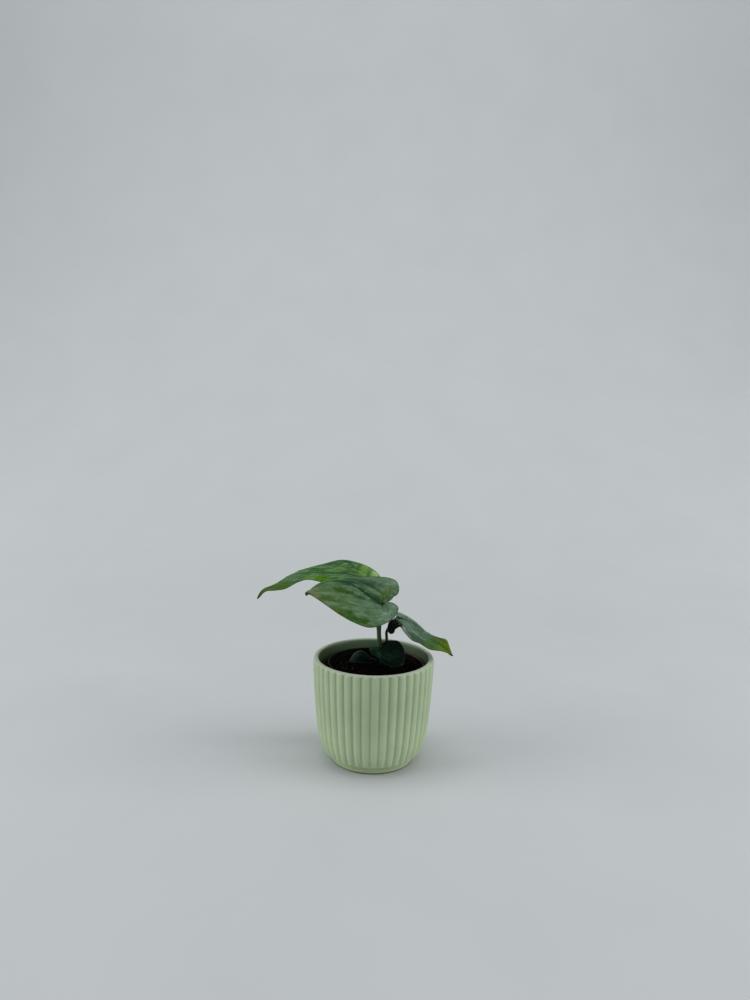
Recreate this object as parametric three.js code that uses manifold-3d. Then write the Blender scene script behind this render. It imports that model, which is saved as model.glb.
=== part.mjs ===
// Potted monstera amydrium: a young aroid plant in a thin nursery pot, which stands inside a ribbed
// ceramic pot. Millimetres, +Z up, the viewer's side is -Y. The origin is the centre of the ceramic
// pot's flat underside.

import * as THREE from "three";
import Module from "manifold-3d";

const wasm = await Module();
wasm.setup();

// Clearance between pieces that touch
const GAP = 0.3;

// Ceramic pot
const POT_HEIGHT = 65.2;
const POT_RADIUS = 37.5;
const POT_WALL = 3.5;
const POT_FLOOR = 5;
const FOOT_RADIUS = 26;
const FOOT_HEIGHT = 3.4;
const BELLY_RADIUS = 34.6;
const BELLY_HEIGHT = 20;
const RIB_COUNT = 40;
const RIB_FACETS = 3;
const RIB_DEPTH = 0.8;
const FIRST_GROOVE_DEG = -84;

// Nursery pot
const NURSERY_RIM_RADIUS = 30;
const NURSERY_TOP = 60.6;
const NURSERY_BASE_RADIUS = 21;
const NURSERY_WALL = 0.8;
const NURSERY_BAND = 4.2;
const NURSERY_BAND_STEP = 0.9;
const NURSERY_FLOOR = 1;
const NURSERY_RECESS = 1;
const NURSERY_SIDES = 48;
const DRAIN_RADIUS = 2.4;
const DRAIN_RING = 13;
const DRAIN_COUNT = 5;

// The nursery pot and its soil lean a little: how far the rim is off centre, and its slope
const LEAN = 1.6;
const LEAN_SLOPE = 0.03;

// Soil
const SOIL_LEVEL = 57.8;
const SOIL_BUMP = 0.8;
const SOIL_RINGS = 6;

// Crown of the plant, whose lower end stands in the soil
const CROWN = new THREE.Vector2(6.2, 5);
const CROWN_RADIUS = 3.1;
const CROWN_TOP = 63;
const CROWN_FOOT = 42;

// Leaves
const BLADE_THICKNESS = 0.6;
const MIDRIB_DEPTH = 0.5;
const MIDRIB_GROOVE = 0.3;
const VEIN_STOPS = [0, 0.12, 0.4, 0.7, 1];

// Swelling of each stalk just below its leaf: how much, where along the stalk, and how long
const SWELLING = 0.25;
const SWELLING_PLACE = 0.93;
const SWELLING_LENGTH = 0.06;

const at = (x, y, z) => new THREE.Vector3(x, y, z);

// An indexed geometry from a list of points and a flat list of triangle corners.
function indexedGeometry(points, triangles) {
  const geometry = new THREE.BufferGeometry().setFromPoints(points);
  geometry.setIndex(triangles);
  return geometry;
}

// Joins a stack of rings into one closed skin. Every ring has the same number of points, apart from
// the single point that closes each end.
function skinRings(rings) {
  const starts = [];
  let count = 0;
  for (const ring of rings) {
    starts.push(count);
    count += ring.length;
  }
  const corner = (k, i) => starts[k] + (i % rings[k].length);
  const triangles = [];
  for (let k = 0; k + 1 < rings.length; k++) {
    const around = Math.max(rings[k].length, rings[k + 1].length);
    for (let i = 0; i < around; i++) {
      if (rings[k].length > 1) {
        triangles.push(corner(k, i), corner(k, i + 1), corner(k + 1, i + 1));
      }
      if (rings[k + 1].length > 1) {
        triangles.push(corner(k, i), corner(k + 1, i + 1), corner(k + 1, i));
      }
    }
  }
  return indexedGeometry(rings.flat(), triangles);
}

// A turned body from a profile of [radius, height] pairs that starts and ends on the axis.
function turned(profile, sides, radiusAt = (radius) => radius) {
  return skinRings(
    profile.map(([radius, height, detail = 0]) => {
      if (radius === 0) {
        return [at(0, 0, height)];
      }
      return Array.from({ length: sides }, (_, i) => {
        const r = radiusAt(radius, i, detail);
        const angle = THREE.MathUtils.degToRad(FIRST_GROOVE_DEG) + (2 * Math.PI * i) / sides;
        return at(r * Math.cos(angle), r * Math.sin(angle), height);
      });
    }),
  );
}

function solidOf(geometry) {
  return new wasm.Manifold(
    new wasm.Mesh({
      numProp: 3,
      vertProperties: geometry.getAttribute("position").array,
      triVerts: new Uint32Array(geometry.index.array),
    }),
  );
}

function geometryOf(solid) {
  const mesh = solid.getMesh();
  const geometry = new THREE.BufferGeometry();
  geometry.setAttribute("position", new THREE.BufferAttribute(mesh.vertProperties, 3));
  geometry.setIndex(new THREE.BufferAttribute(mesh.triVerts, 1));
  return geometry;
}

// An upright round plug, used to cut holes.
function plug(x, y, low, high, radius, sides) {
  const ring = (z) =>
    Array.from({ length: sides }, (_, i) => {
      const angle = (2 * Math.PI * i) / sides;
      return at(x + radius * Math.cos(angle), y + radius * Math.sin(angle), z);
    });
  return solidOf(skinRings([[at(x, y, low)], ring(low), ring(high), [at(x, y, high)]]));
}

// The ceramic pot. The third number of a profile point is how deep the grooves between the ribs are
// there, as a share of RIB_DEPTH.
function makePot() {
  const lip = POT_WALL / 2;
  const inner = POT_RADIUS - POT_WALL;
  const profile = [
    [0, 0],
    [FOOT_RADIUS - 0.7, 0],
    [FOOT_RADIUS, 0.7],
    [FOOT_RADIUS + 0.3, FOOT_HEIGHT - 0.4],
    [FOOT_RADIUS + 1.8, FOOT_HEIGHT + 0.2],
    [FOOT_RADIUS + 3.9, FOOT_HEIGHT + 1.2, 0.3],
    [BELLY_RADIUS - 2.8, 8, 1],
    [BELLY_RADIUS - 1.3, 13, 1],
    [BELLY_RADIUS, BELLY_HEIGHT, 1],
    [POT_RADIUS - 1.8, 31, 1],
    [POT_RADIUS - 0.7, 45, 1],
    [POT_RADIUS, 60, 1],
    [POT_RADIUS, POT_HEIGHT - 2.6, 1],
    [POT_RADIUS, POT_HEIGHT - lip, 0.2],
    [POT_RADIUS - 0.5, POT_HEIGHT - 0.5],
    [POT_RADIUS - lip, POT_HEIGHT],
    [inner + 0.4, POT_HEIGHT - 0.6],
    [inner, POT_HEIGHT - 2],
    [POT_RADIUS - 0.7 - POT_WALL, 45],
    [BELLY_RADIUS - POT_WALL + 0.2, 22],
    [BELLY_RADIUS - 5.5, 10],
    [BELLY_RADIUS - 9.5, POT_FLOOR + 1],
    [BELLY_RADIUS - 13, POT_FLOOR],
    [0, POT_FLOOR],
  ];
  const ribbed = (radius, i, detail) => {
    const across = (i % RIB_FACETS) / RIB_FACETS;
    return radius - RIB_DEPTH * detail * (1 - Math.sqrt(Math.sin(Math.PI * across)));
  };
  return turned(profile, RIB_COUNT * RIB_FACETS, ribbed);
}

// Radius of the nursery pot's outer wall at a height, below the band at its rim.
function nurseryWall(z) {
  const low = POT_FLOOR + GAP;
  const top = NURSERY_RIM_RADIUS - NURSERY_BAND_STEP;
  return NURSERY_BASE_RADIUS + ((z - low) / (NURSERY_TOP - low)) * (top - NURSERY_BASE_RADIUS);
}

// Leans an upright geometry to the right, more so towards the rim of the nursery pot.
function lean(geometry) {
  const low = POT_FLOOR + GAP;
  const position = geometry.getAttribute("position");
  for (let i = 0; i < position.count; i++) {
    const share = (position.getZ(i) - low) / (NURSERY_TOP - low);
    const x = position.getX(i);
    position.setX(i, x + LEAN * share);
    position.setZ(i, position.getZ(i) - LEAN_SLOPE * x * share);
  }
  return geometry;
}

function makeNurseryPot() {
  const low = POT_FLOOR + GAP;
  const bandLow = NURSERY_TOP - NURSERY_BAND;
  const shell = turned(
    [
      [0, low + NURSERY_RECESS],
      [NURSERY_BASE_RADIUS - 4, low + NURSERY_RECESS],
      [NURSERY_BASE_RADIUS - 3, low],
      [NURSERY_BASE_RADIUS - 0.8, low],
      [NURSERY_BASE_RADIUS, low + 0.8],
      [nurseryWall(bandLow - 0.5), bandLow - 0.5],
      [NURSERY_RIM_RADIUS - 0.3, bandLow],
      [NURSERY_RIM_RADIUS, NURSERY_TOP],
      [NURSERY_RIM_RADIUS - NURSERY_WALL, NURSERY_TOP],
      [NURSERY_RIM_RADIUS - 0.3 - NURSERY_WALL, bandLow + 0.6],
      [nurseryWall(bandLow) - NURSERY_WALL, bandLow],
      [NURSERY_BASE_RADIUS - NURSERY_WALL, low + NURSERY_RECESS + NURSERY_FLOOR],
      [0, low + NURSERY_RECESS + NURSERY_FLOOR],
    ],
    NURSERY_SIDES,
  );
  let pot = solidOf(lean(shell));
  for (let i = 0; i < DRAIN_COUNT; i++) {
    const angle = (2 * Math.PI * i) / DRAIN_COUNT;
    const x = DRAIN_RING * Math.cos(angle);
    const y = DRAIN_RING * Math.sin(angle);
    pot = pot.subtract(plug(x, y, low - 1, low + 4, DRAIN_RADIUS, 10));
  }
  return geometryOf(pot);
}

// Height of the lumpy top of the soil.
function soilHeight(x, y) {
  const broad = Math.sin(0.31 * x + 0.8) * Math.cos(0.27 * y - 0.4);
  const fine = Math.sin(0.83 * x - 1.1) * Math.sin(0.91 * y + 0.6);
  return SOIL_LEVEL + SOIL_BUMP * (0.6 * broad + 0.4 * fine);
}

function makeSoil() {
  const low = POT_FLOOR + NURSERY_RECESS + NURSERY_FLOOR + 2 * GAP;
  const inside = (z) => nurseryWall(z) - NURSERY_WALL - GAP;
  const bandLow = NURSERY_TOP - NURSERY_BAND;
  const edge = inside(bandLow);
  const ring = (radius, height) =>
    Array.from({ length: NURSERY_SIDES }, (_, i) => {
      const turn = THREE.MathUtils.degToRad(FIRST_GROOVE_DEG);
      const angle = turn + (2 * Math.PI * i) / NURSERY_SIDES;
      const x = radius * Math.cos(angle);
      const y = radius * Math.sin(angle);
      return at(x, y, height ?? soilHeight(x, y));
    });
  const rings = [[at(0, 0, low)], ring(inside(low) - 0.4, low), ring(edge, bandLow - 0.6)];
  for (let k = SOIL_RINGS; k > 0; k--) {
    rings.push(ring(((edge - 0.4) * k) / SOIL_RINGS));
  }
  rings.push([at(0, 0, soilHeight(0, 0))]);
  const hole = plug(CROWN.x, CROWN.y, CROWN_FOOT - GAP, SOIL_LEVEL + 4, CROWN_RADIUS + GAP, 16);
  return geometryOf(solidOf(lean(skinRings(rings))).subtract(hole));
}

// The short stem, thickened at its joints, with a flat top that the leaf stalks stand on.
function makeStem() {
  const profile = [
    [0, CROWN_FOOT],
    [0.55, CROWN_FOOT],
    [0.75, CROWN_FOOT + 4],
    [0.9, CROWN_FOOT + 10],
    [1, CROWN_TOP - 6.6],
    [0.88, CROWN_TOP - 4.4],
    [1, CROWN_TOP - 2.9],
    [0.9, CROWN_TOP - 1.8],
    [1, CROWN_TOP - 0.6],
    [0.95, CROWN_TOP],
    [0, CROWN_TOP],
  ].map(([share, z]) => [share * CROWN_RADIUS, z]);
  const stem = turned(profile, 14);
  stem.translate(CROWN.x, CROWN.y, 0);
  return stem;
}

// A leaf stalk: a round tapering rod along a smooth path, with a slight swelling below the leaf. A
// level foot stands flat on the crown.
function makeStalk({ path, footRadius, tipRadius, steps, levelFoot = true }, sides = 8) {
  const curve = new THREE.CatmullRomCurve3(path);
  const frames = curve.computeFrenetFrames(steps, false);
  const rings = [[path[0]]];
  for (let k = 0; k <= steps; k++) {
    const along = k / steps;
    const offPlace = (along - SWELLING_PLACE) / SWELLING_LENGTH;
    const swelling = 1 + SWELLING * Math.exp(-(offPlace ** 2));
    const radius = THREE.MathUtils.lerp(footRadius, tipRadius, along ** 0.6) * swelling;
    const centre = curve.getPointAt(along);
    rings.push(
      Array.from({ length: sides }, (_, i) => {
        const angle = (2 * Math.PI * i) / sides;
        const point = centre
          .clone()
          .addScaledVector(frames.normals[k], radius * Math.cos(angle))
          .addScaledVector(frames.binormals[k], radius * Math.sin(angle));
        return levelFoot && k === 0 ? point.setZ(centre.z) : point;
      }),
    );
  }
  rings.push([path[path.length - 1]]);
  return skinRings(rings);
}

// A leaf blade. Both margins run from the notch at the stalk, round a lobe, to the tip. Rows of points
// follow the side veins from the midrib to the margins. Each half puffs up as a whole, by puff, and
// again between its veins, by pucker.
function makeBlade({ midrib, far, near, rows, lobeShare, puff, pucker }) {
  const notch = midrib[0];
  const tip = midrib[midrib.length - 1];
  const spine = new THREE.CatmullRomCurve3(midrib);
  const margins = [far, near].map((outline) => new THREE.CatmullRomCurve3([notch, ...outline, tip]));
  const rootShare = (k) => Math.max(0, (k / rows - lobeShare) / (1 - lobeShare));

  const points = [];
  const lifts = [];
  const addPoint = (point, lift) => {
    lifts.push(lift);
    return points.push(point) - 1;
  };
  const spineIndex = [];
  for (let k = 0; k < rows; k++) {
    const share = rootShare(k);
    const reuse = k > 0 && share === 0;
    spineIndex.push(reuse ? spineIndex[0] : addPoint(spine.getPointAt(share), -MIDRIB_GROOVE));
  }
  const tipIndex = addPoint(tip, 0);

  const top = [];
  margins.forEach((margin, side) => {
    const grid = [];
    for (let k = 1; k < rows; k++) {
      const root = points[spineIndex[k]];
      const end = margin.getPointAt(k / rows);
      const swell = k % 2 === 0 ? -pucker : pucker;
      const row = [spineIndex[k]];
      for (const share of VEIN_STOPS.slice(1)) {
        const bulge = 4 * share * (1 - share);
        row.push(addPoint(root.clone().lerp(end, share), puff[side] * bulge + swell * bulge));
      }
      grid.push(row);
    }
    grid.push(VEIN_STOPS.map(() => tipIndex));
    const face = (a, b, c) => {
      if (a !== b && b !== c && c !== a) {
        top.push(...(side === 0 ? [a, b, c] : [a, c, b]));
      }
    };
    for (let k = 0; k + 1 < grid.length; k++) {
      for (let j = 0; j + 1 < VEIN_STOPS.length; j++) {
        face(grid[k][j], grid[k][j + 1], grid[k + 1][j + 1]);
        face(grid[k][j], grid[k + 1][j + 1], grid[k + 1][j]);
      }
    }
  });
  return thicken(points, lifts, top, new Set(spineIndex));
}

// Normals of the points of an open sheet.
function sheetNormals(points, triangles) {
  const sheet = indexedGeometry(points, triangles);
  sheet.computeVertexNormals();
  const normals = sheet.getAttribute("normal");
  return points.map((_, i) => new THREE.Vector3().fromBufferAttribute(normals, i));
}

// Lifts a sheet's points along its normals and gives it thickness, with the same triangles on both
// faces and a stiffer rib under the midrib.
function thicken(points, lifts, triangles, ribIndex) {
  const flat = sheetNormals(points, triangles);
  const upper = points.map((point, i) => point.clone().addScaledVector(flat[i], lifts[i]));
  const normals = sheetNormals(upper, triangles);
  const lower = upper.map((point, i) => {
    const depth = BLADE_THICKNESS + (ribIndex.has(i) ? MIDRIB_DEPTH : 0);
    return point.clone().addScaledVector(normals[i], -depth);
  });
  const below = points.length;
  const all = [...triangles];
  const edges = new Map();
  for (let i = 0; i < triangles.length; i += 3) {
    const [a, b, c] = triangles.slice(i, i + 3);
    all.push(a + below, c + below, b + below);
    for (const [from, to] of [[a, b], [b, c], [c, a]]) {
      edges.set(from + "," + to, [from, to]);
    }
  }
  for (const [from, to] of edges.values()) {
    if (!edges.has(to + "," + from)) {
      all.push(to, from, from + below, to, from + below, to + below);
    }
  }
  return indexedGeometry([...upper, ...lower], all);
}

// The broad heart-shaped leaf that faces the viewer.
const frontLeaf = {
  midrib: [
    at(4, 0, 98),
    at(-5.5, 3.5, 103.5),
    at(-15.5, 6, 109),
    at(-28, 5, 111),
    at(-37.5, 1, 107.5),
    at(-42.5, -3, 103.5),
  ],
  far: [
    at(10, 4, 100),
    at(14, 9, 104),
    at(12.5, 13.5, 110),
    at(7, 16, 111.5),
    at(-6.5, 16.5, 111.5),
    at(-19, 15.5, 110.5),
    at(-30, 13, 107.5),
    at(-37.5, 8, 104.5),
  ],
  near: [
    at(10, -2.5, 100.5),
    at(14.5, -7, 98),
    at(12, -12.5, 93.5),
    at(6, -17, 90.5),
    at(-2.5, -20, 89),
    at(-11.5, -21, 92),
    at(-20.5, -18.5, 96),
    at(-30, -13, 100.5),
    at(-37, -7, 104),
  ],
  rows: 18,
  lobeShare: 0.36,
  puff: [0.8, 2.2],
  pucker: 0.35,
};

// The long leaf that arches to the left behind it and ends in a drip tip.
const backLeaf = {
  midrib: [
    at(-6, 27, 107.5),
    at(-16.5, 29, 110),
    at(-29.5, 30, 110.5),
    at(-46, 29, 110.5),
    at(-55.5, 27, 108),
    at(-65, 24, 102),
    at(-76, 20, 94),
  ],
  far: [
    at(3, 31.5, 108),
    at(1, 35, 110.5),
    at(-5, 39, 113.5),
    at(-12.5, 42, 115.5),
    at(-22.5, 43, 117),
    at(-34, 41, 114.5),
    at(-47, 38, 111),
    at(-59.5, 33, 105),
    at(-70, 26, 101),
  ],
  near: [
    at(-0.5, 24, 105),
    at(0, 21, 102),
    at(-5.5, 19.5, 99.5),
    at(-14.5, 19.5, 100.5),
    at(-24, 20.5, 103.5),
    at(-35, 22.5, 106),
    at(-44, 24, 107),
    at(-50, 22.5, 105.5),
    at(-58, 19, 101.5),
    at(-67.5, 18, 101),
    at(-72.5, 18.5, 97.5),
  ],
  rows: 20,
  lobeShare: 0.22,
  puff: [0.8, 0.8],
  pucker: 0.3,
};

// The narrow leaf that hangs over the rim on the right, with one lobe curled under at its stalk.
const rightLeaf = {
  midrib: [
    at(13.5, 3, 89),
    at(19, 3, 87.5),
    at(25.5, 2.5, 82.5),
    at(33, 1, 77),
    at(41, -1, 73),
    at(49, -4, 67),
  ],
  far: [
    at(14, 8, 91),
    at(18, 10, 89.5),
    at(26, 11, 84.5),
    at(31.5, 10.5, 79.5),
    at(36, 9, 76.5),
    at(41.5, 6.5, 75.5),
    at(45.5, 4, 75),
    at(47.5, 0, 71),
  ],
  near: [
    at(10, 0.5, 85.5),
    at(9, -2, 82.5),
    at(10.5, -3, 80.3),
    at(12.6, -4.2, 83.9),
    at(15.7, -6.5, 86),
    at(18.2, -8, 83.3),
    at(23, -9, 78.5),
    at(28, -9.5, 76.5),
    at(34, -9.5, 73),
    at(41.5, -8, 71.5),
    at(47, -6, 69),
  ],
  rows: 18,
  lobeShare: 0.24,
  puff: [0.8, 0.8],
  pucker: 0.25,
};

// The dark heart-shaped leaf in the pot's mouth.
const lowLeaf = {
  midrib: [at(4, -1, 70), at(9, -4, 69), at(13.5, -9, 67), at(18, -14, 64.5)],
  far: [
    at(5, 1, 72),
    at(6.5, 4, 73),
    at(10.5, 6.5, 73),
    at(15, 6, 71.5),
    at(18, 1.5, 68.5),
    at(19, -6, 66),
  ],
  near: [
    at(1.5, 1.5, 70),
    at(-2, 3, 70),
    at(-3, 1, 69),
    at(-1, -4, 67.5),
    at(3, -8, 66.5),
    at(7, -13, 64.5),
    at(12.5, -16, 63.5),
  ],
  rows: 14,
  lobeShare: 0.38,
  puff: [0.6, 0.6],
  pucker: 0.2,
};

// The small leaf that arches over the soil on the left.
const smallLeaf = {
  midrib: [
    at(-2.2, 1.5, 63.2),
    at(-4.5, 2, 65.8),
    at(-8, 2, 67.7),
    at(-12.3, 1, 65.9),
    at(-15.6, -1, 60.8),
  ],
  far: [at(-3.5, 4, 63.5), at(-8, 5.5, 65), at(-12.5, 3.5, 63.5)],
  near: [at(-2.5, -3, 61.5), at(-6, -5, 62), at(-11, -4, 62)],
  rows: 10,
  lobeShare: 0.12,
  puff: [0.6, 0.6],
  pucker: 0.15,
};

// Stalks, from the crown's flat top, or its side, to the notch of each leaf
const stalkFoot = CROWN_TOP + GAP;
const frontStalk = {
  path: [
    at(6.6, 4.4, stalkFoot),
    at(5.2, 4.1, 69),
    at(3.9, 3.5, 75),
    at(3.6, 3, 82.5),
    at(4.4, 1.2, 91),
    at(4.1, 0.2, 96.3),
  ],
  footRadius: 0.85,
  tipRadius: 0.75,
  steps: 12,
};
const backStalk = {
  path: [
    at(4.6, 5.9, stalkFoot),
    at(3.6, 6.2, 68.5),
    at(2.8, 6.4, 74),
    at(2, 8, 82),
    at(-1.5, 14, 92),
    at(-3.5, 20, 96.5),
    at(-4.9, 24.8, 102.1),
    at(-5.3, 25.9, 104.9),
  ],
  footRadius: 0.95,
  tipRadius: 0.75,
  steps: 16,
};
const rightStalk = {
  path: [
    at(8, 6.2, stalkFoot),
    at(8.1, 7.6, 69),
    at(8, 7.5, 74),
    at(7.9, 6, 79),
    at(10, 4.6, 83.4),
    at(12.2, 3.6, 86.6),
  ],
  footRadius: 0.9,
  tipRadius: 0.7,
  steps: 12,
};
const lowStalk = {
  path: [at(5.5, 2.8, stalkFoot), at(4.9, 1.3, 66.2), at(4.1, -0.5, 68.7)],
  footRadius: 0.7,
  tipRadius: 0.55,
  steps: 5,
};
const smallStalk = {
  path: [at(2.9, 4.4, 60.6), at(0.5, 3.2, 61.7), at(-1.8, 1.9, 62.3)],
  footRadius: 0.6,
  tipRadius: 0.5,
  steps: 4,
  levelFoot: false,
};

const glaze = new THREE.MeshStandardMaterial({ color: 0xb3bf9f, roughness: 0.55, metalness: 0 });
const nurseryPlastic = new THREE.MeshStandardMaterial({ color: 0x2a2522, roughness: 0.45, metalness: 0 });
const pottingMix = new THREE.MeshStandardMaterial({ color: 0x1e1916, roughness: 0.95, metalness: 0 });
const stemGreen = new THREE.MeshStandardMaterial({ color: 0x5b6b3c, roughness: 0.6, metalness: 0 });
const stalkGreen = new THREE.MeshStandardMaterial({ color: 0x7f9660, roughness: 0.5, metalness: 0 });
const leafSilver = new THREE.MeshStandardMaterial({ color: 0x8fa58a, roughness: 0.45, metalness: 0 });
const leafGreen = new THREE.MeshStandardMaterial({ color: 0x7b9a5c, roughness: 0.45, metalness: 0 });
const leafDark = new THREE.MeshStandardMaterial({ color: 0x24402c, roughness: 0.4, metalness: 0 });

const plant = new THREE.Group();

function add(name, geometry, material) {
  const mesh = new THREE.Mesh(geometry, material);
  mesh.name = name;
  plant.add(mesh);
}

add("pot", makePot(), glaze);
add("nursery_pot", makeNurseryPot(), nurseryPlastic);
add("soil", makeSoil(), pottingMix);
add("stem", makeStem(), stemGreen);
add("petiole_front", makeStalk(frontStalk), stalkGreen);
add("petiole_back", makeStalk(backStalk), stalkGreen);
add("petiole_right", makeStalk(rightStalk), stalkGreen);
add("petiole_low", makeStalk(lowStalk), stalkGreen);
add("petiole_small", makeStalk(smallStalk), stalkGreen);
add("leaf_front", makeBlade(frontLeaf), leafSilver);
add("leaf_back", makeBlade(backLeaf), leafGreen);
add("leaf_right", makeBlade(rightLeaf), leafGreen);
add("leaf_low", makeBlade(lowLeaf), leafDark);
add("leaf_small", makeBlade(smallLeaf), leafDark);

export default plant;
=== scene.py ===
"""A young aroid house plant with quilted leaves, in a nursery pot inside a ribbed ceramic pot.

Each operator makes one piece, or one group of like pieces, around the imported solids. Shapes are worked
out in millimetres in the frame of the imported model, and turned into metres as each mesh is made.
"""

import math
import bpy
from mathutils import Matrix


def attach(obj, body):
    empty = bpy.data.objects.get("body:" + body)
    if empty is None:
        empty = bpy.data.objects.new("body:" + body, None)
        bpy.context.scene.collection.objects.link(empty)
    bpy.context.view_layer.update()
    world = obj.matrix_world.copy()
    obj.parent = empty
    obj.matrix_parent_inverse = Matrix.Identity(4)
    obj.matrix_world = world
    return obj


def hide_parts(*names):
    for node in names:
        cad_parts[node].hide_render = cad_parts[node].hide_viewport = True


bl_info = {
    "name": "Potted Monstera Amydrium",
    "version": (1, 0, 0),
    "blender": (4, 5, 0),
    "location": "3D View > Sidebar > Potted Plant",
    "description": "Dresses the packed plant with its leaves, stalks, potting mix and pots",
    "category": "Object",
}

import bmesh
import bpy
import numpy as np
from bpy.props import FloatProperty, FloatVectorProperty, IntProperty, PointerProperty
from mathutils import Matrix, Vector, noise

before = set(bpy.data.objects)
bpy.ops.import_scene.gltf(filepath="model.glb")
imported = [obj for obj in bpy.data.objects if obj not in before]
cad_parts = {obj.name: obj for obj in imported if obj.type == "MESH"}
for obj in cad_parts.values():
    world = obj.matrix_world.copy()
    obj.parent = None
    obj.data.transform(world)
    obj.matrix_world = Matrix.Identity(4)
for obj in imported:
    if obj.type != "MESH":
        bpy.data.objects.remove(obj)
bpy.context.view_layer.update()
MM = 0.001

# Ceramic pot, in millimetres
POT_HEIGHT = 65.2
POT_FLOOR = 5
POT_INNER = 34.2
FIRST_GROOVE = math.radians(-92.2)
REED_STEPS = 12
REED_LOW_END = (5.4, 8.2)
REED_WIDEN = (6.0, 11.5)
REED_TOP_END = (63.9, 65.0)
REED_ROUNDNESS = 0.85
REED_FLARE = 0.6
REED_ARCH = 0.9
REED_SHALLOW = 0.35
REED_START = (4.8, 6.2)
LIP_CREST = 35.8
FOOT_EDGE = 26.5
POT_FOOT = [(25.2, 0), (25.55, 0.2), (25.75, 0.7), (25.85, 1.8), (25.95, 3.4)]
POT_BODY = [
    (25.95, 3.4), (26.5, 4.2), (28.2, 5.0), (30.1, 6.1), (31.75, 9), (33.3, 13.4), (34.6, 20),
    (35.7, 31), (36.8, 45), (37.48, 60), (37.48, 62.6), (37.42, 63.5), (37.25, 64.2), (36.9, 64.75),
    (36.35, 65.1), (35.75, 65.2), (35.1, 65.1), (34.55, 64.75), (34.2, 64.2), (34, 63.2),
    (33.3, 45), (31.3, 22), (29.1, 10), (25.1, 6), (21.6, POT_FLOOR),
]
# Steps along this outline: coarse between the foot and the lip and down the inner wall, else fine
FINE_STEP = 0.32
COARSE_STEP = 2.6
BODY_SPAN = (11, 61.4)
WALL_SPAN = (8, 63)

# Nursery pot, in millimetres
NURSERY_LOW = 5.3
NURSERY_TOP = 60.6
NURSERY_RIM = 30
NURSERY_BASE = 21
NURSERY_WALL = 0.8
NURSERY_BAND = NURSERY_TOP - 4.2
NURSERY_SIDES = 144
NURSERY_LEAN = 1.6
NURSERY_SLOPE = 0.03
DRAIN_RADIUS = 2.4
DRAIN_RING = 13
DRAIN_COUNT = 5
DRAIN_SIDES = 24

# Potting mix, in millimetres
SOIL_LEVEL = 57.8
SOIL_LOW = 7.6
SOIL_EDGE = 27.4
SOIL_GAP = 0.35
SOIL_SIDES = 150
SOIL_RINGS = 60
SOIL_WALL_ROWS = (SOIL_LOW, 20.0, 38.0, 54.0)
CRUMB_SIZES = (0.5, 2.3)
GRAIN_SIZES = (0.3, 0.75)
GRAIN_CLUSTER = (-22.0, -5.3)
GRAIN_SPREAD = (4.0, 1.2)
# The higher this power, the more of the lumps are near the small end of their sizes
SMALL_BIAS = 2.2
SOIL_SEED = 41

# Crown and leaf stalks, in millimetres
CROWN = (6.2, 5.0)
CROWN_RADIUS = 3.1
CROWN_TOP = 63.0
CROWN_FOOT = 42.0
CROWN_SCARS = (CROWN_TOP - 4.4, CROWN_TOP - 1.8)
CROWN_SIDES = 48
STALK_SIDES = 20
STALK_RINGS = 90
# Share of its length at which a stalk swells, and how much thicker it is where it sheathes the crown
STALK_SWELLS_AT = 0.9
STALK_SHEATH = 0.3

# Leaf blades, in millimetres. A pair with FROM in its name gives the distances from the midrib or the
# margin between which something grows to its full height. ACROSS holds the points across half a
# blade, closer together at the midrib and at the margin.
ACROSS = np.concatenate(
    [
        [0, 0.008, 0.018, 0.032, 0.05, 0.075],
        np.linspace(0.1, 0.93, 34),
        [0.95, 0.966, 0.979, 0.99, 1],
    ]
)
BLADE_ROWS = 150
MIDRIB_GROOVE = 0.32
MIDRIB_WIDTH = 0.55
MIDRIB_FADE = 0.6
VEIN_WIDTH = 0.4
VEIN_FROM_RIB = (0.1, 0.8)
VEIN_FROM_EDGE = (0.3, 3)
QUILT_ROUNDNESS = 0.8
QUILT_SPACING = (0.6, 3)
QUILT_FROM_RIB = (0.2, 2.2)
QUILT_FROM_EDGE = (0.2, 3)
PILLOW_SIZE = 4.5
PILLOW_MEAN = 0.75
PILLOW_SWING = 0.6
PUCKER_SIZE = 1.5
PUCKER_HEIGHT = 0.12
UNDER_RIB_WIDTH = 0.75
UNDER_RIB_HEIGHT = 0.75
UNDER_RIB_FALL = 0.6
UNDER_VEIN = 0.16
EDGE_THICKNESS = 0.4
PATCH_SOFTNESS = 0.8
PATCH_RAGGED = 1.2
STREAK_SIZE = 1.7
STREAK_STRETCH = 3.5

# Colours worked into the finishes, as linear red, green and blue
GLAZE_TINTS = {
    # Painted light: the glaze is lighter towards the foot, for the light thrown up from the floor
    "low": (0.4, 0.5, 0.3),
    "crest": (0.275, 0.275, 0.24),
    "foot": (0.3, 0.37, 0.19),
    "speck": (0.2, 0.23, 0.15),
    # Painted shade and light inside the pot: the inner wall is dark on its shaded side, lighter on its
    # lit side, and darkest deep down
    "shaded_wall": (0.028, 0.056, 0.02),
    "lit_wall": (0.08, 0.13, 0.072),
    "deep_inside": (0.012, 0.02, 0.008),
    # Painted contact shadow: the bottom edge of the foot, where it meets the floor, is darkened
    "foot_contact_shade": (0.022, 0.028, 0.014),
}
PLASTIC_DUST = (0.004, 0.0027, 0.0018)
GREY_RIM = (0.1, 0.072, 0.05)
SOIL_CRUMBLY = (0.0022, 0.0021, 0.0013)
SOIL_DAMP = (0.0012, 0.0014, 0.001)
SOIL_BARK = (0.005, 0.0037, 0.0024)
GRAIN_PIT = (0.035, 0.033, 0.029)
GRAIN_PALE = (0.12, 0.115, 0.105)
STALK_STREAK = (0.06, 0.105, 0.035)
STALK_FOOT = (0.05, 0.05, 0.025)
STALK_TIP = (0.1, 0.14, 0.06)
STALK_SHADE = (0.002, 0.0055, 0.003)
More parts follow.
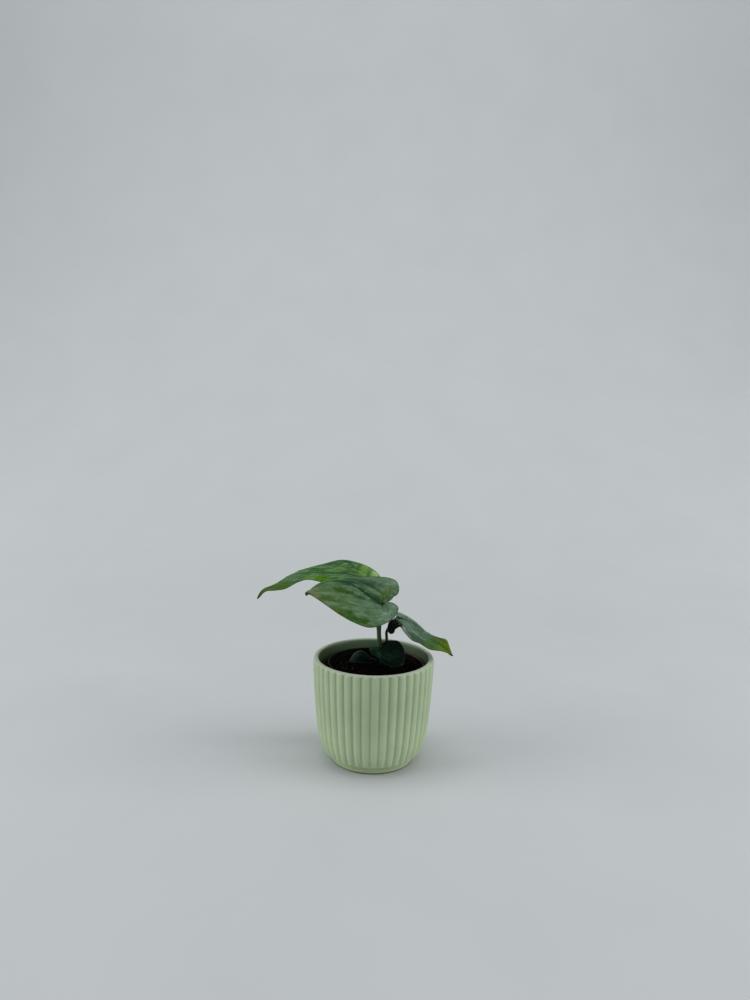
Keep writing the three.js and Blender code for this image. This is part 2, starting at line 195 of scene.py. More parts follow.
# Crown colours, painted near black for the deep shade the crown stands in under the leaves
CROWN_GREEN = (0.012, 0.018, 0.008)
CROWN_BROWN = (0.022, 0.019, 0.01)
CROWN_MARK = (0.012, 0.008, 0.005)
DRY_TIP = (0.045, 0.04, 0.04)


class GlazeSettings(bpy.types.PropertyGroup):
    reed_count: IntProperty(
        name="Reeds", description="Upright reeds around the ceramic pot", default=42, min=12
    )
    reed_depth: FloatProperty(
        name="Reed depth",
        description="How deep the grooves between the reeds are",
        default=0.001,
        unit="LENGTH",
    )
    colour: FloatVectorProperty(
        name="Glaze", description="Colour of the matt glaze", subtype="COLOR",
        default=(0.328, 0.41, 0.253), min=0, max=1,
    )
    shade: FloatVectorProperty(
        name="Glaze in grooves", description="Colour of the glaze where it is thick",
        subtype="COLOR", default=(0.23, 0.295, 0.165), min=0, max=1,
    )


class NurserySettings(bpy.types.PropertyGroup):
    colour: FloatVectorProperty(
        name="Plastic", description="Colour of the nursery pot", subtype="COLOR",
        default=(0.0014, 0.0012, 0.001), min=0, max=1,
    )
    # The rim colour is partly wear and partly a painted highlight along the rim's top edge
    rim: FloatVectorProperty(
        name="Highlit_and_worn rim", description="Colour of the rubbed edge of its rim", subtype="COLOR",
        default=(0.175, 0.105, 0.056), min=0, max=1,
    )


class SoilSettings(bpy.types.PropertyGroup):
    crumb_count: IntProperty(
        name="Crumbs", description="Crumbs of bark and peat on the soil", default=620, min=0
    )
    grain_count: IntProperty(
        name="Pale grains", description="Pale mineral grains on the soil", default=30, min=0
    )
    colour: FloatVectorProperty(
        name="Potting mix", description="Colour of the moist potting mix", subtype="COLOR",
        default=(0.0009, 0.0012, 0.0008), min=0, max=1,
    )


class StalkSettings(bpy.types.PropertyGroup):
    colour: FloatVectorProperty(
        name="Stalk", description="Colour of the leaf stalks", subtype="COLOR",
        default=(0.055, 0.088, 0.036), min=0, max=1,
    )
    swelling: FloatProperty(
        name="Swelling", description="Extra thickness of a stalk just below its leaf",
        default=0.25, subtype="FACTOR", min=0, max=1,
    )


class LeafSettings(bpy.types.PropertyGroup):
    thickness: FloatProperty(
        name="Thickness", description="Thickness of a leaf blade away from its veins",
        default=0.00042, unit="LENGTH",
    )
    quilting: FloatProperty(
        name="Quilting", description="How far a blade puffs up between its side veins",
        default=0.00068, unit="LENGTH",
    )
    vein_groove: FloatProperty(
        name="Vein groove", description="How deep the side veins are sunk",
        default=0.00024, unit="LENGTH",
    )


class PlantSettings(bpy.types.PropertyGroup):
    glaze: PointerProperty(type=GlazeSettings)
    nursery: PointerProperty(type=NurserySettings)
    soil: PointerProperty(type=SoilSettings)
    stalks: PointerProperty(type=StalkSettings)
    leaves: PointerProperty(type=LeafSettings)


# Shapes


def through(points, samples=900):
    """A smooth curve through the points, given as points that are evenly spaced along it."""
    points = np.asarray(points, float)
    ends = np.vstack([2 * points[0] - points[1], points, 2 * points[-1] - points[-2]])
    share = np.linspace(0, 1, max(8, samples // (len(points) - 1)), endpoint=False)[:, None]
    pieces = []
    for a, b, c, d in zip(ends, ends[1:], ends[2:], ends[3:]):
        before, here, after = (
            math.sqrt(np.linalg.norm(q - p)) for p, q in ((a, b), (b, c), (c, d))
        )
        start = ((b - a) / before - (c - a) / (before + here) + (c - b) / here) * here
        stop = ((c - b) / here - (d - b) / (here + after) + (d - c) / after) * here
        bend = 3 * (c - b) - 2 * start - stop
        close = start + stop - 2 * (c - b)
        pieces.append(b + start * share + bend * share**2 + close * share**3)
    curve = np.vstack([*pieces, points[-1:]])
    return at_share(curve, np.linspace(0, 1, samples))


def at_share(curve, shares):
    """Points of a curve at these shares of its length."""
    steps = np.linalg.norm(np.diff(curve, axis=0), axis=1)
    along = np.concatenate([[0], np.cumsum(steps)])
    where = np.asarray(shares) * along[-1]
    return np.stack([np.interp(where, along, axis) for axis in curve.T], -1)


def eased(value, low, high):
    """0 below low, 1 above high, and smooth between them."""
    share = np.clip((np.asarray(value, float) - low) / (high - low), 0, 1)
    return share * share * (3 - 2 * share)


def bell(value, width):
    """1 at zero, falling off smoothly over the width."""
    return np.exp(-((np.asarray(value, float) / width) ** 2))


def rough(points, scale, octaves, seed):
    """Smooth random values from about -1 to 1 at points in millimetres. Scale is the lumps' size."""
    offset = Vector((seed, 2.7 * seed, -1.3 * seed))
    return np.array(
        [noise.fractal(Vector(p) / scale + offset, 0.6, 2.1, octaves) for p in points]
    )


def nearest(points, curve):
    """Distance of each point to a curve, and the share of the curve where it is nearest."""
    distance, share = [], []
    for block in np.array_split(points, max(1, len(points) // 2000)):
        gap = np.linalg.norm(block[:, None] - curve[None], axis=2)
        best = gap.argmin(1)
        distance.append(gap[np.arange(len(block)), best])
        share.append(best / (len(curve) - 1))
    return np.concatenate(distance), np.concatenate(share)


def ring_at(radius, angle, z):
    """A ring of points about the pot's axis, at these angles."""
    radius = np.broadcast_to(radius, angle.shape)
    return np.stack([radius * np.cos(angle), radius * np.sin(angle), np.full_like(angle, z)], 1)


def capped_rings(rings, low_cap, high_cap):
    """Points and faces of a stack of rings, closed by a fan to each cap point."""
    around = len(rings[0])
    points = np.vstack([*rings, low_cap, high_cap])
    steps = [(i, (i + 1) % around) for i in range(around)]
    starts = [k * around for k in range(len(rings))]
    faces = []
    for low, high in zip(starts, starts[1:]):
        faces += [(low + i, low + j, high + j, high + i) for i, j in steps]
    faces += [(len(points) - 2, j, i) for i, j in steps]
    faces += [(len(points) - 1, starts[-1] + i, starts[-1] + j) for i, j in steps]
    return points, faces


def turns(count):
    """Evenly spaced angles round a full turn."""
    return np.linspace(0, 2 * math.pi, count, endpoint=False)


def flow(path, radii, sides):
    """Rings of a round rod along a path, with no twist."""
    path = np.asarray(path, float)
    ahead = np.gradient(path, axis=0)
    ahead /= np.linalg.norm(ahead, axis=1)[:, None]
    across = np.cross(ahead[0], (0, 1, 0) if abs(ahead[0][1]) < 0.9 else (1, 0, 0))
    angle = turns(sides)[:, None]
    rings = []
    for centre, direction, radius in zip(path, ahead, radii):
        across = across - direction * (across @ direction)
        across /= np.linalg.norm(across)
        other = np.cross(direction, across)
        rings.append(centre + radius * (np.cos(angle) * across + np.sin(angle) * other))
    return rings


# Making pieces


def make_mesh(name, points, faces, materials, face_materials=None, attributes=None):
    """A smooth mesh object from points in millimetres."""
    mesh = bpy.data.meshes.new(name)
    mesh.from_pydata([tuple(p) for p in np.asarray(points, float) * MM], [], faces)
    for material in materials:
        mesh.materials.append(material)
    if face_materials is not None:
        mesh.polygons.foreach_set("material_index", face_materials)
    for title, values in (attributes or {}).items():
        layer = mesh.attributes.new(title, "FLOAT", "POINT")
        layer.data.foreach_set("value", np.asarray(values, np.float32))
    mesh.validate()
    mesh.shade_smooth()
    piece = bpy.data.objects.new(name, mesh)
    bpy.context.scene.collection.objects.link(piece)
    return piece


def dress(piece, slot, *nodes):
    """The piece rides on the root body and stands for these nodes. The slot is not used."""
    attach(piece, "root")
    if nodes:
        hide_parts(*nodes)


class Finish:
    """A Principled material, with short names for the nodes that feed it."""

    def __init__(self, name, **sockets):
        self.material = bpy.data.materials.new(name)
        self.material.use_nodes = True
        self.nodes = self.material.node_tree.nodes
        self.links = self.material.node_tree.links
        self.shader = self.nodes["Principled BSDF"]
        self.place = self.put("ShaderNodeTexCoord").outputs["Object"]
        for title, value in sockets.items():
            self.shader.inputs[title.replace("_", " ")].default_value = value

    def feed(self, socket, value):
        """Links a node's output to the socket, or sets the socket to a colour or a number."""
        if isinstance(value, bpy.types.NodeSocket):
            self.links.new(value, socket)
        elif socket.type == "RGBA":
            socket.default_value = (*value, 1)
        else:
            socket.default_value = value

    def put(self, kind, inputs=None, **settings):
        """A new node of this kind, with its settings made and its inputs fed."""
        node = self.nodes.new(kind)
        for title, value in settings.items():
            setattr(node, title, value)
        for title, value in (inputs or {}).items():
            self.feed(node.inputs[title], value)
        return node

    def attribute(self, title, strength=1):
        """A value painted on the mesh, times this strength."""
        value = self.put("ShaderNodeAttribute", attribute_name=title).outputs["Fac"]
        return value if strength == 1 else self.math("MULTIPLY", value, strength)

    def noise(self, size, detail, roughness=0.55, stretch=None):
        """Noise with lumps of about this size in millimetres. Stretch below 1 draws them out."""
        place = self.place
        if stretch is not None:
            inputs = {"Vector": place, "Scale": Vector(stretch)}
            place = self.put("ShaderNodeMapping", inputs).outputs[0]
        node = self.put(
            "ShaderNodeTexNoise",
            {"Vector": place, "Scale": 1 / (size * MM), "Detail": detail, "Roughness": roughness},
        )
        return node.outputs["Fac"]

    def cells(self, size):
        """Distance to the middle of soft cells of about this size in millimetres."""
        inputs = {"Vector": self.place, "Scale": 1 / (size * MM)}
        node = self.put("ShaderNodeTexVoronoi", inputs, feature="SMOOTH_F1")
        return node.outputs["Distance"]

    def streaks(self, size, stretch):
        """Noise drawn out along a blade, by its own length and width in millimetres."""
        ahead = self.math("DIVIDE", self.attribute("ahead"), stretch)
        place = self.put("ShaderNodeCombineXYZ", {"X": ahead, "Y": self.attribute("aside")})
        node = self.put(
            "ShaderNodeTexNoise",
            {"Vector": place.outputs[0], "Scale": 1 / size, "Detail": 5.0, "Roughness": 0.6},
        )
        return node.outputs["Fac"]

    def grey(self, value):
        """A grey colour of this brightness."""
        node = self.put("ShaderNodeCombineColor")
        for socket in node.inputs[:3]:
            self.feed(socket, value)
        return node.outputs[0]

    def math(self, operation, first, second, clamp=False):
        node = self.put("ShaderNodeMath", operation=operation, use_clamp=clamp)
        self.feed(node.inputs[0], first)
        self.feed(node.inputs[1], second)
        return node.outputs[0]

    def between(self, value, low, high, to_low=0.0, to_high=1.0):
        """Maps a value from one range to another, and holds it inside."""
        inputs = {
            "Value": value, "From Min": low, "From Max": high, "To Min": to_low, "To Max": to_high,
        }
        return self.put("ShaderNodeMapRange", inputs).outputs[0]

    def mix(self, share, first, second, blend="MIX"):
        """The first colour with this share of the second worked into it."""
        node = self.put("ShaderNodeMix", data_type="RGBA", blend_type=blend)
        colours = [socket for socket in node.inputs if socket.type == "RGBA"]
        self.feed(node.inputs["Factor"], share)
        self.feed(colours[0], first)
        self.feed(colours[1], second)
        return next(socket for socket in node.outputs if socket.type == "RGBA")

    def bump(self, height, distance, strength, over=None):
        """Relief of this distance in millimetres, laid over another one where it is given."""
        inputs = {"Height": height, "Distance": distance * MM, "Strength": strength}
        if over is not None:
            inputs["Normal"] = over
        return self.put("ShaderNodeBump", inputs).outputs[0]

    def wear(self, **sockets):
        """Feeds node outputs into the shader's own sockets."""
        for title, value in sockets.items():
            self.feed(self.shader.inputs[title.replace("_", " ")], value)
        return self.material


# Ceramic pot


def glaze_finish(settings):
    look = Finish(
        "matt_sage_glaze", Specular_IOR_Level=0.45, Sheen_Weight=0.06, Sheen_Roughness=0.4
    )
    cloud = look.noise(14, 3)
    fine = look.noise(0.9, 5, 0.65)
    speck = look.between(look.noise(0.55, 2, 0.5), 0.7, 0.78)
    thick = look.between(look.attribute("groove"), 0.15, 1.0, 0.0, 0.6)
    colour = look.mix(thick, tuple(settings.colour), tuple(settings.shade))
    # Low lays painted light from the floor over the glaze, lighter towards the foot
    for title, strength in (("low", 0.7), ("crest", 1), ("foot", 0.7)):
        colour = look.mix(look.attribute(title, strength), colour, GLAZE_TINTS[title])
    cloudy = look.grey(look.between(cloud, 0.35, 0.65, 0.96, 1.04))
    colour = look.mix(1.0, colour, cloudy, "MULTIPLY")
    colour = look.mix(look.math("MULTIPLY", speck, 0.14), colour, GLAZE_TINTS["speck"])
    # Painted shade and light on the inner wall: a lit and a shaded colour across it, and painted shade
    # deep inside
    lit = look.attribute("lit_side")
    wall = look.mix(lit, GLAZE_TINTS["shaded_wall"], GLAZE_TINTS["lit_wall"])
    colour = look.mix(look.attribute("inside"), colour, wall)
    colour = look.mix(look.attribute("deep_inside"), colour, GLAZE_TINTS["deep_inside"])
    # Painted contact shadow along the foot's bottom edge, which is also made rougher
    contact_shade = look.attribute("foot_contact_shade")
    colour = look.mix(contact_shade, colour, GLAZE_TINTS["foot_contact_shade"])
    gloss = look.between(fine, 0.3, 0.7, 0.4, 0.52)
    gloss = look.math("ADD", gloss, look.math("MULTIPLY", contact_shade, 0.3), True)
    relief = look.bump(fine, 0.05, 0.5)
    relief = look.bump(cloud, 0.3, 0.35, relief)
    return look.wear(Base_Color=colour, Roughness=gloss, Normal=relief)


def pot_profile():
    """The outline of the pot from its underside, over the lip, to its floor."""
    foot = through([(r, 0, z) for r, z in POT_FOOT], 9)
    body = through([(r, 0, z) for r, z in POT_BODY], 1400)[:, ::2]
    wanted, last = [], None
    for r, z in body:
        on_body = BODY_SPAN[0] <= z <= BODY_SPAN[1]
        on_wall = r < POT_INNER and WALL_SPAN[0] < z < WALL_SPAN[1]
        step = COARSE_STEP if on_body or on_wall else FINE_STEP
        if last is None or math.hypot(r - last[0], z - last[1]) >= step:
            wanted.append((r, z))
            last = (r, z)
    return [*foot[:-1][:, ::2], *wanted, POT_BODY[-1]]


def reed_relief(across, z):
    """How deep the pot is grooved at this height, 0 on a reed's crest to 1 in a groove."""
    widen = 1 - eased(z, *REED_WIDEN)
    groove = 1 - np.sin(np.pi * across) ** (REED_ROUNDNESS + REED_FLARE * widen)
    arch = REED_ARCH * (2 * across - 1) ** 2
    low = eased(z - arch, REED_LOW_END[0] - REED_ARCH, REED_LOW_END[1] - REED_ARCH)
    high = 1 - eased(z + 0.5 * arch, *REED_TOP_END)
    return groove * (REED_SHALLOW + (1 - REED_SHALLOW) * low) * high * eased(z, *REED_START)


class PLANT_OT_ceramic_pot(bpy.types.Operator):
    """Makes the ribbed ceramic pot, with round reeds that end in a smooth foot and lip"""

    bl_idname = "plant.ceramic_pot"
    bl_label = "Ceramic Pot"

    def execute(self, context):
        settings = context.scene.potted_plant.glaze
        step = 0.5 - 0.5 * np.cos(np.pi * np.arange(REED_STEPS) / REED_STEPS)
        across = np.tile(step, settings.reed_count)
        reed = np.repeat(np.arange(settings.reed_count), REED_STEPS)
        angle = FIRST_GROOVE + 2 * np.pi * (reed + across) / settings.reed_count
        rings, grooves, within = [], [], []
        outside = True
        for r, z in pot_profile():
            outside = outside and not (z > POT_HEIGHT - 0.02 and r < LIP_CREST)
            carved = outside and z > POT_FOOT[-1][1]
            shape = reed_relief(across, z) if carved else np.zeros(len(across))
            rings.append(ring_at(r - settings.reed_depth / MM * shape, angle, z))
            grooves.append(shape)
            within.append(np.full(len(across), 0.0 if outside else 1.0))
        points, faces = capped_rings(rings, (0, 0, 0), (0, 0, POT_FLOOR))
        x, y, height = points.T
        depth = POT_HEIGHT - height
        inside = np.concatenate([*within, [0, 1]])
        under_foot = np.hypot(x, y) < FOOT_EDGE
        piece = make_mesh(
            "pot_reeded", points, faces, [glaze_finish(settings)],
            attributes={
                "groove": np.concatenate([*grooves, [0, 0]]),
                # Painted shade inside the pot, lighter on the lit right-hand side and darkest deep down
                "inside": inside * eased(depth, 0, 0.8),
                "deep_inside": inside * eased(depth, 7, 14),
                "lit_side": eased(x, -34, -4) - 0.2 * eased(x, 12, 30),
                # Painted light from the floor: lighter towards the foot
                "low": 1 - eased(height, 3, 50),
                "crest": bell(depth, 0.6) * (0.3 + 0.5 * eased(-y, 5, 30)),
                "foot": 1 - eased(height, 3.6, 5.2),
                # Painted contact shadow on the bottom edge of the foot, where it meets the floor
                "foot_contact_shade": (1 - eased(height, 0.5, 0.95)) * under_foot,
            },
        )
        dress(piece, "glaze", "pot")
        return {"FINISHED"}


# Nursery pot


def lean(points):
    """Leans points of the nursery pot and its soil to the right, more so towards the rim."""
    points = np.array(points, float)
    share = (points[:, 2] - NURSERY_LOW) / (NURSERY_TOP - NURSERY_LOW)
    points[:, 2] -= NURSERY_SLOPE * points[:, 0] * share
    points[:, 0] += NURSERY_LEAN * share
    return points


def nursery_wall(z):
    """Outer radius of the nursery pot below its band."""
    slope = (NURSERY_RIM - 0.9 - NURSERY_BASE) / (NURSERY_TOP - NURSERY_LOW)
    return NURSERY_BASE + slope * (z - NURSERY_LOW)


def nursery_finish(settings):
    look = Finish("thin_dark_plastic", Specular_IOR_Level=0.04)
    dust = look.noise(2.4, 6, 0.7)
    scuff = look.noise(0.8, 4, 0.6)
    patch = look.noise(16, 2)
    dusty = look.between(dust, 0.45, 0.75, 0.0, 0.35)
    colour = look.mix(dusty, tuple(settings.colour), PLASTIC_DUST)
    # The rim's top edge is paler in scuffed patches: wear, and a painted highlight
    edge = look.mix(look.between(patch, 0.4, 0.6), GREY_RIM, tuple(settings.rim))
    scuffed = look.between(scuff, 0.3, 0.65, 0.35, 1.0)
    worn_and_lit = look.math("MULTIPLY", look.attribute("rim_wear_and_highlight"), scuffed)
    colour = look.mix(worn_and_lit, colour, edge)
    gloss = look.between(dust, 0.3, 0.7, 0.4, 0.65)
    return look.wear(Base_Color=colour, Roughness=gloss, Normal=look.bump(dust, 0.04, 0.4))


class PLANT_OT_nursery_pot(bpy.types.Operator):
    """Makes the thin nursery pot, with its banded rim and drain holes"""

    bl_idname = "plant.nursery_pot"
    bl_label = "Nursery Pot"

    def execute(self, context):
        base, rim = NURSERY_BASE, NURSERY_RIM
        low, band, top = NURSERY_LOW, NURSERY_BAND, NURSERY_TOP
        wall, thin = nursery_wall, NURSERY_WALL
        outline = [
            (base - 4, low + 1), (base - 3.4, low + 0.3), (base - 3, low), (base - 0.8, low),
            (base - 0.2, low + 0.3), (base, low + 0.8), (wall(20), 20), (wall(40), 40),
            (wall(band - 0.9), band - 0.9), (wall(band - 0.5) + 0.1, band - 0.4),
            (rim - 0.5, band - 0.12), (rim - 0.32, band + 0.15), (rim - 0.22, band + 1),
            (rim - 0.1, top - 1), (rim - 0.02, top - 0.35), (rim - 0.07, top - 0.1),
            (rim - 0.22, top), (rim - 0.58, top), (rim - 0.73, top - 0.1), (rim - 0.8, top - 0.35),
            (rim - 0.9, top - 1), (rim - 1.05, band + 0.9), (rim - 1.3, band + 0.5),
            (wall(band) - thin, band - 0.2), (wall(30) - thin, 30), (base - thin, low + 2.3),
            (base - thin - 0.4, low + 2),
        ]
        angle = turns(NURSERY_SIDES)
        rings = [ring_at(r, angle, z) for r, z in outline]
        points, faces = capped_rings(rings, (0, 0, low + 1), (0, 0, low + 2))
        x, y, height = points.T
        # Painted highlight on the rim's top edge, strongest on the right where the light falls, with
        # painted shade over it at the back; the faint even part is wear
        rubbed_and_lit = 0.12 + 0.7 * eased(x, 8, 24)
        shaded_back = 0.9 * eased(y, -3, 14) * (1 - eased(x, 6, 16))
        worn_and_lit = bell(height - top, 0.3) * rubbed_and_lit * (1 - shaded_back)
        body = make_mesh("nursery_pot_thin", lean(points), faces, [], attributes={"rim_wear_and_highlight": worn_and_lit})
        for turn in turns(DRAIN_COUNT):
            self.drain(body, DRAIN_RING * math.cos(turn), DRAIN_RING * math.sin(turn))
        body.data.materials.clear()
        body.data.materials.append(nursery_finish(context.scene.potted_plant.nursery))
        dress(body, "nursery_plastic", "nursery_pot")
        return {"FINISHED"}

    def drain(self, body, x, y):
        """Cuts a round drain hole through the floor of the pot."""
        low, high = 2.0, 9.0
        stack = [ring_at(DRAIN_RADIUS, turns(DRAIN_SIDES), z) + (x, y, 0) for z in (low, high)]
        points, faces = capped_rings(stack, (x, y, low), (x, y, high))
        drill = make_mesh("drill", points, faces, [])
        cut = body.modifiers.new("drain", "BOOLEAN")
        cut.operation, cut.solver, cut.object = "DIFFERENCE", "EXACT", drill
        bpy.context.view_layer.update()
        evaluated = body.evaluated_get(bpy.context.evaluated_depsgraph_get())
        finished = bpy.data.meshes.new_from_object(evaluated)
        body.modifiers.clear()
        body.data = finished
        bpy.data.objects.remove(drill)


# Potting mix


def soil_height(x, y):
    """Height of the lumpy top of the soil, as in the solid."""
    broad = np.sin(0.31 * x + 0.8) * np.cos(0.27 * y - 0.4)
    fine = np.sin(0.83 * x - 1.1) * np.sin(0.91 * y + 0.6)
    return SOIL_LEVEL + 0.8 * (0.6 * broad + 0.4 * fine)


def soil_finish(settings):
    look = Finish("moist_potting_mix", Specular_IOR_Level=0.02)
    crumb = look.noise(0.8, 8, 0.7)
    patch = look.noise(5, 4)
    colour = look.mix(look.between(crumb, 0.4, 0.75), tuple(settings.colour), SOIL_CRUMBLY)
    colour = look.mix(look.between(patch, 0.5, 0.7, 0.0, 0.4), colour, SOIL_DAMP)
    colour = look.mix(look.attribute("tone"), colour, SOIL_BARK)
    gloss = look.between(crumb, 0.35, 0.7, 0.95, 0.7)
    return look.wear(Base_Color=colour, Roughness=gloss, Normal=look.bump(crumb, 0.35, 0.9))


def grain_finish():
    look = Finish("pale_mineral_grain", Specular_IOR_Level=0.1, Roughness=0.85)
    pits = look.noise(0.25, 4, 0.7)
    colour = look.mix(look.between(pits, 0.35, 0.65), GRAIN_PIT, GRAIN_PALE)
    return look.wear(Base_Color=colour, Normal=look.bump(pits, 0.08, 0.8))


def pebble(form, rng, centre, size, flatness):
    """Points of an irregular lump of this size, turned at random."""
    wobble = rough(form, 0.45, 2, rng.uniform(-50, 50))
    points = form * (1 + 0.5 * wobble[:, None]) * np.array([1, rng.uniform(0.55, 0.95), flatness])
    turn = Matrix.Rotation(rng.uniform(0, 2 * math.pi), 3, "Z")
    tilt = Matrix.Rotation(rng.uniform(-0.7, 0.7), 3, "X")
    return points @ np.array(turn @ tilt).T * size + centre


class PLANT_OT_potting_mix(bpy.types.Operator):
    """Makes the lumpy potting mix, with crumbs of bark and pale grains lying on it"""

    bl_idname = "plant.potting_mix"
    bl_label = "Potting Mix"

    def execute(self, context):
        settings = context.scene.potted_plant.soil
        angle = turns(SOIL_SIDES)
        rings = []
        for z in SOIL_WALL_ROWS:
            rings.append(ring_at(nursery_wall(z) - NURSERY_WALL - SOIL_GAP, angle, z))
        for k in range(SOIL_RINGS, 0, -1):
            flat = ring_at(SOIL_EDGE * k / SOIL_RINGS, angle, 0.0)
            lumps = 0.3 * rough(flat, 2.3, 3, 4.1) + 0.16 * rough(flat, 0.9, 2, 9.4)
            flat[:, 2] = soil_height(flat[:, 0], flat[:, 1]) + lumps
            rings.append(flat)
        points, faces = capped_rings(rings, (0, 0, SOIL_LOW), (0, 0, soil_height(0.0, 0.0)))
        finish = soil_finish(settings)
        bed = make_mesh(
            "soil_bed", lean(points), faces, [finish], attributes={"tone": np.zeros(len(points))}
        )
        dress(bed, "potting_mix", "soil")
        rng = np.random.default_rng(SOIL_SEED)
        self.scatter("soil_crumbs", rng, settings.crumb_count, CRUMB_SIZES, finish)
        self.scatter("soil_grains", rng, settings.grain_count, GRAIN_SIZES, grain_finish(), True)
        return {"FINISHED"}

    def scatter(self, name, rng, count, sizes, finish, pale=False):
        """Lays lumps on the soil, all in one mesh. Half the pale grains lie together near the rim."""
        ball = bmesh.new()
        bmesh.ops.create_icosphere(ball, subdivisions=2, radius=0.5)
        form = np.array([v.co for v in ball.verts])
        form_faces = [[v.index for v in face.verts] for face in ball.faces]
        ball.free()
        all_points, all_faces, tones = [], [], []
        for k in range(count):
            size = sizes[0] + (sizes[1] - sizes[0]) * rng.random() ** SMALL_BIAS
            edge = SOIL_EDGE - size * 0.6
            reach = edge * math.sqrt(rng.random())
            turn = rng.uniform(0, 2 * math.pi)
            flatness = rng.uniform(0.7, 1) if pale else rng.uniform(0.35, 0.8)
            x, y = reach * math.cos(turn), reach * math.sin(turn)
            if pale and k % 2:
                x, y = rng.normal(GRAIN_CLUSTER, GRAIN_SPREAD)
            at_crown = math.hypot(x - CROWN[0], y - CROWN[1]) < CROWN_RADIUS + 0.3 * size
            if at_crown or math.hypot(x, y) > edge:
                continue
            centre = lean([(x, y, soil_height(x, y) + 0.2 * size)])[0]
            start = len(all_points) * len(form)
            all_points.append(pebble(form, rng, centre, size, flatness))
            all_faces += [tuple(start + i for i in face) for face in form_faces]
            tones.append(np.full(len(form), rng.random() ** 3))
        piece = make_mesh(
            name, np.concatenate(all_points), all_faces, [finish],
            attributes={"tone": np.concatenate(tones)},
        )
        dress(piece, "potting_mix")


# Stem and stalks


def stalk_finish(settings):
    look = Finish(
        "smooth_leaf_stalk", Specular_IOR_Level=0.2, Subsurface_Weight=0.1,
        Subsurface_Scale=0.8 * MM,
    )
    streak = look.noise(0.7, 3, 0.5, (1, 1, 0.12))
    along = look.attribute("along")
    streaky = look.between(streak, 0.35, 0.65, 0.0, 0.5)
    colour = look.mix(streaky, tuple(settings.colour), STALK_STREAK)
    colour = look.mix(look.between(along, 0.0, 0.25, 0.6, 0.0), colour, STALK_FOOT)
    colour = look.mix(look.between(along, 0.88, 1.0, 0.0, 0.4), colour, STALK_TIP)
    colour = look.mix(look.attribute("shade"), colour, STALK_SHADE)
    gloss = look.between(streak, 0.3, 0.7, 0.4, 0.55)
    return look.wear(Base_Color=colour, Roughness=gloss, Normal=look.bump(streak, 0.05, 0.5))


def stem_finish():
    look = Finish("ringed_crown", Specular_IOR_Level=0.1)
    bark = look.noise(0.8, 5, 0.6, (1, 1, 0.35))
    ring = look.between(look.attribute("ring"), 0.0, 1.0, 0.0, 0.8)
    # Painted shade: the crown's green and brown are darkened for the shade under the leaves
    colour = look.mix(look.between(bark, 0.35, 0.7), CROWN_GREEN, CROWN_BROWN)
    colour = look.mix(ring, colour, CROWN_MARK)
    return look.wear(
        Base_Color=colour,
        Roughness=look.between(bark, 0.3, 0.7, 0.55, 0.8),
        Normal=look.bump(bark, 0.12, 0.7),
    )


class PLANT_OT_stem(bpy.types.Operator):
    """Makes the short ringed crown, with the scars of older leaves round it"""

    bl_idname = "plant.stem"
    bl_label = "Stem"

    def execute(self, context):
        profile = through(
            [
                (0.55, 0, CROWN_FOOT), (0.75, 0, CROWN_FOOT + 4), (0.9, 0, CROWN_FOOT + 10),
                (0.97, 0, CROWN_TOP - 6.6), (0.88, 0, CROWN_TOP - 4.4), (0.99, 0, CROWN_TOP - 2.9),
                (0.9, 0, CROWN_TOP - 1.8), (0.98, 0, CROWN_TOP - 0.7), (0.85, 0, CROWN_TOP - 0.15),
                (0.6, 0, CROWN_TOP),
            ],
            90,
        )
        angle = turns(CROWN_SIDES)
        rings, marks = [], []
        for share, _, z in profile:
            wobble = 1 - 0.025 * (1 + np.sin(3 * angle + z * 0.4)) * 0.5
            mark = sum(bell(z - scar, 0.3) for scar in CROWN_SCARS)
            radius = share * CROWN_RADIUS * wobble * (1 - 0.05 * mark)
            rings.append(ring_at(radius, angle, z) + (*CROWN, 0))
            marks.append(np.full(len(angle), mark))
        points, faces = capped_rings(rings, (*CROWN, CROWN_FOOT), (*CROWN, CROWN_TOP))
        ring = np.concatenate([*marks, [0, 0]])
        piece = make_mesh("stem_crown", points, faces, [stem_finish()], attributes={"ring": ring})
        dress(piece, "stem_green", "stem")
        return {"FINISHED"}


# Leaf stalks: the path from the crown to the leaf, the radius at each end, and how shaded it is
STALKS = {
    "front": {
        "path": [
            (6.6, 4.4, 62.7), (5.2, 4.1, 69), (3.9, 3.5, 75), (3.6, 3, 82.5), (4.4, 1.2, 91),
            (4.1, 0.2, 96.3), (3.95, 0.05, 97.5),
        ],
        "radii": (0.85, 0.75),
        "shade": 0.47,
    },
    "back": {
        "path": [
            (4.6, 5.9, 62.7), (3.6, 6.2, 68.5), (2.8, 6.4, 74), (2, 8, 82), (-1.5, 14, 92),
            (-3.5, 20, 96.5), (-4.9, 24.8, 102.1), (-5.4, 26, 105.2), (-6, 27, 107),
        ],
        "radii": (0.95, 0.75),
        "shade": 0.0,
    },
    "right": {
        "path": [
            (8, 6.2, 62.7), (8.1, 7.6, 69), (8, 7.5, 74), (7.9, 6, 79), (10, 4.6, 83.4),
            (12.2, 3.6, 86.6), (13.4, 3.1, 88.4),
        ],
        "radii": (0.95, 0.85),
        "shade": 0.75,
    },
    "low": {
        "path": [(5.5, 2.8, 62.7), (4.9, 1.3, 66.2), (4.1, -0.5, 68.7), (4, -1, 69.5)],
        "radii": (0.7, 0.55),
        "shade": 0.9,
    },
    "small": {
        "path": [(3.6, 4.7, 60.4), (0.5, 3.2, 61.7), (-1.8, 1.9, 62.3), (-2.3, 1.5, 62.8)],
        "radii": (0.6, 0.5),
        "shade": 1.0,
    },
}


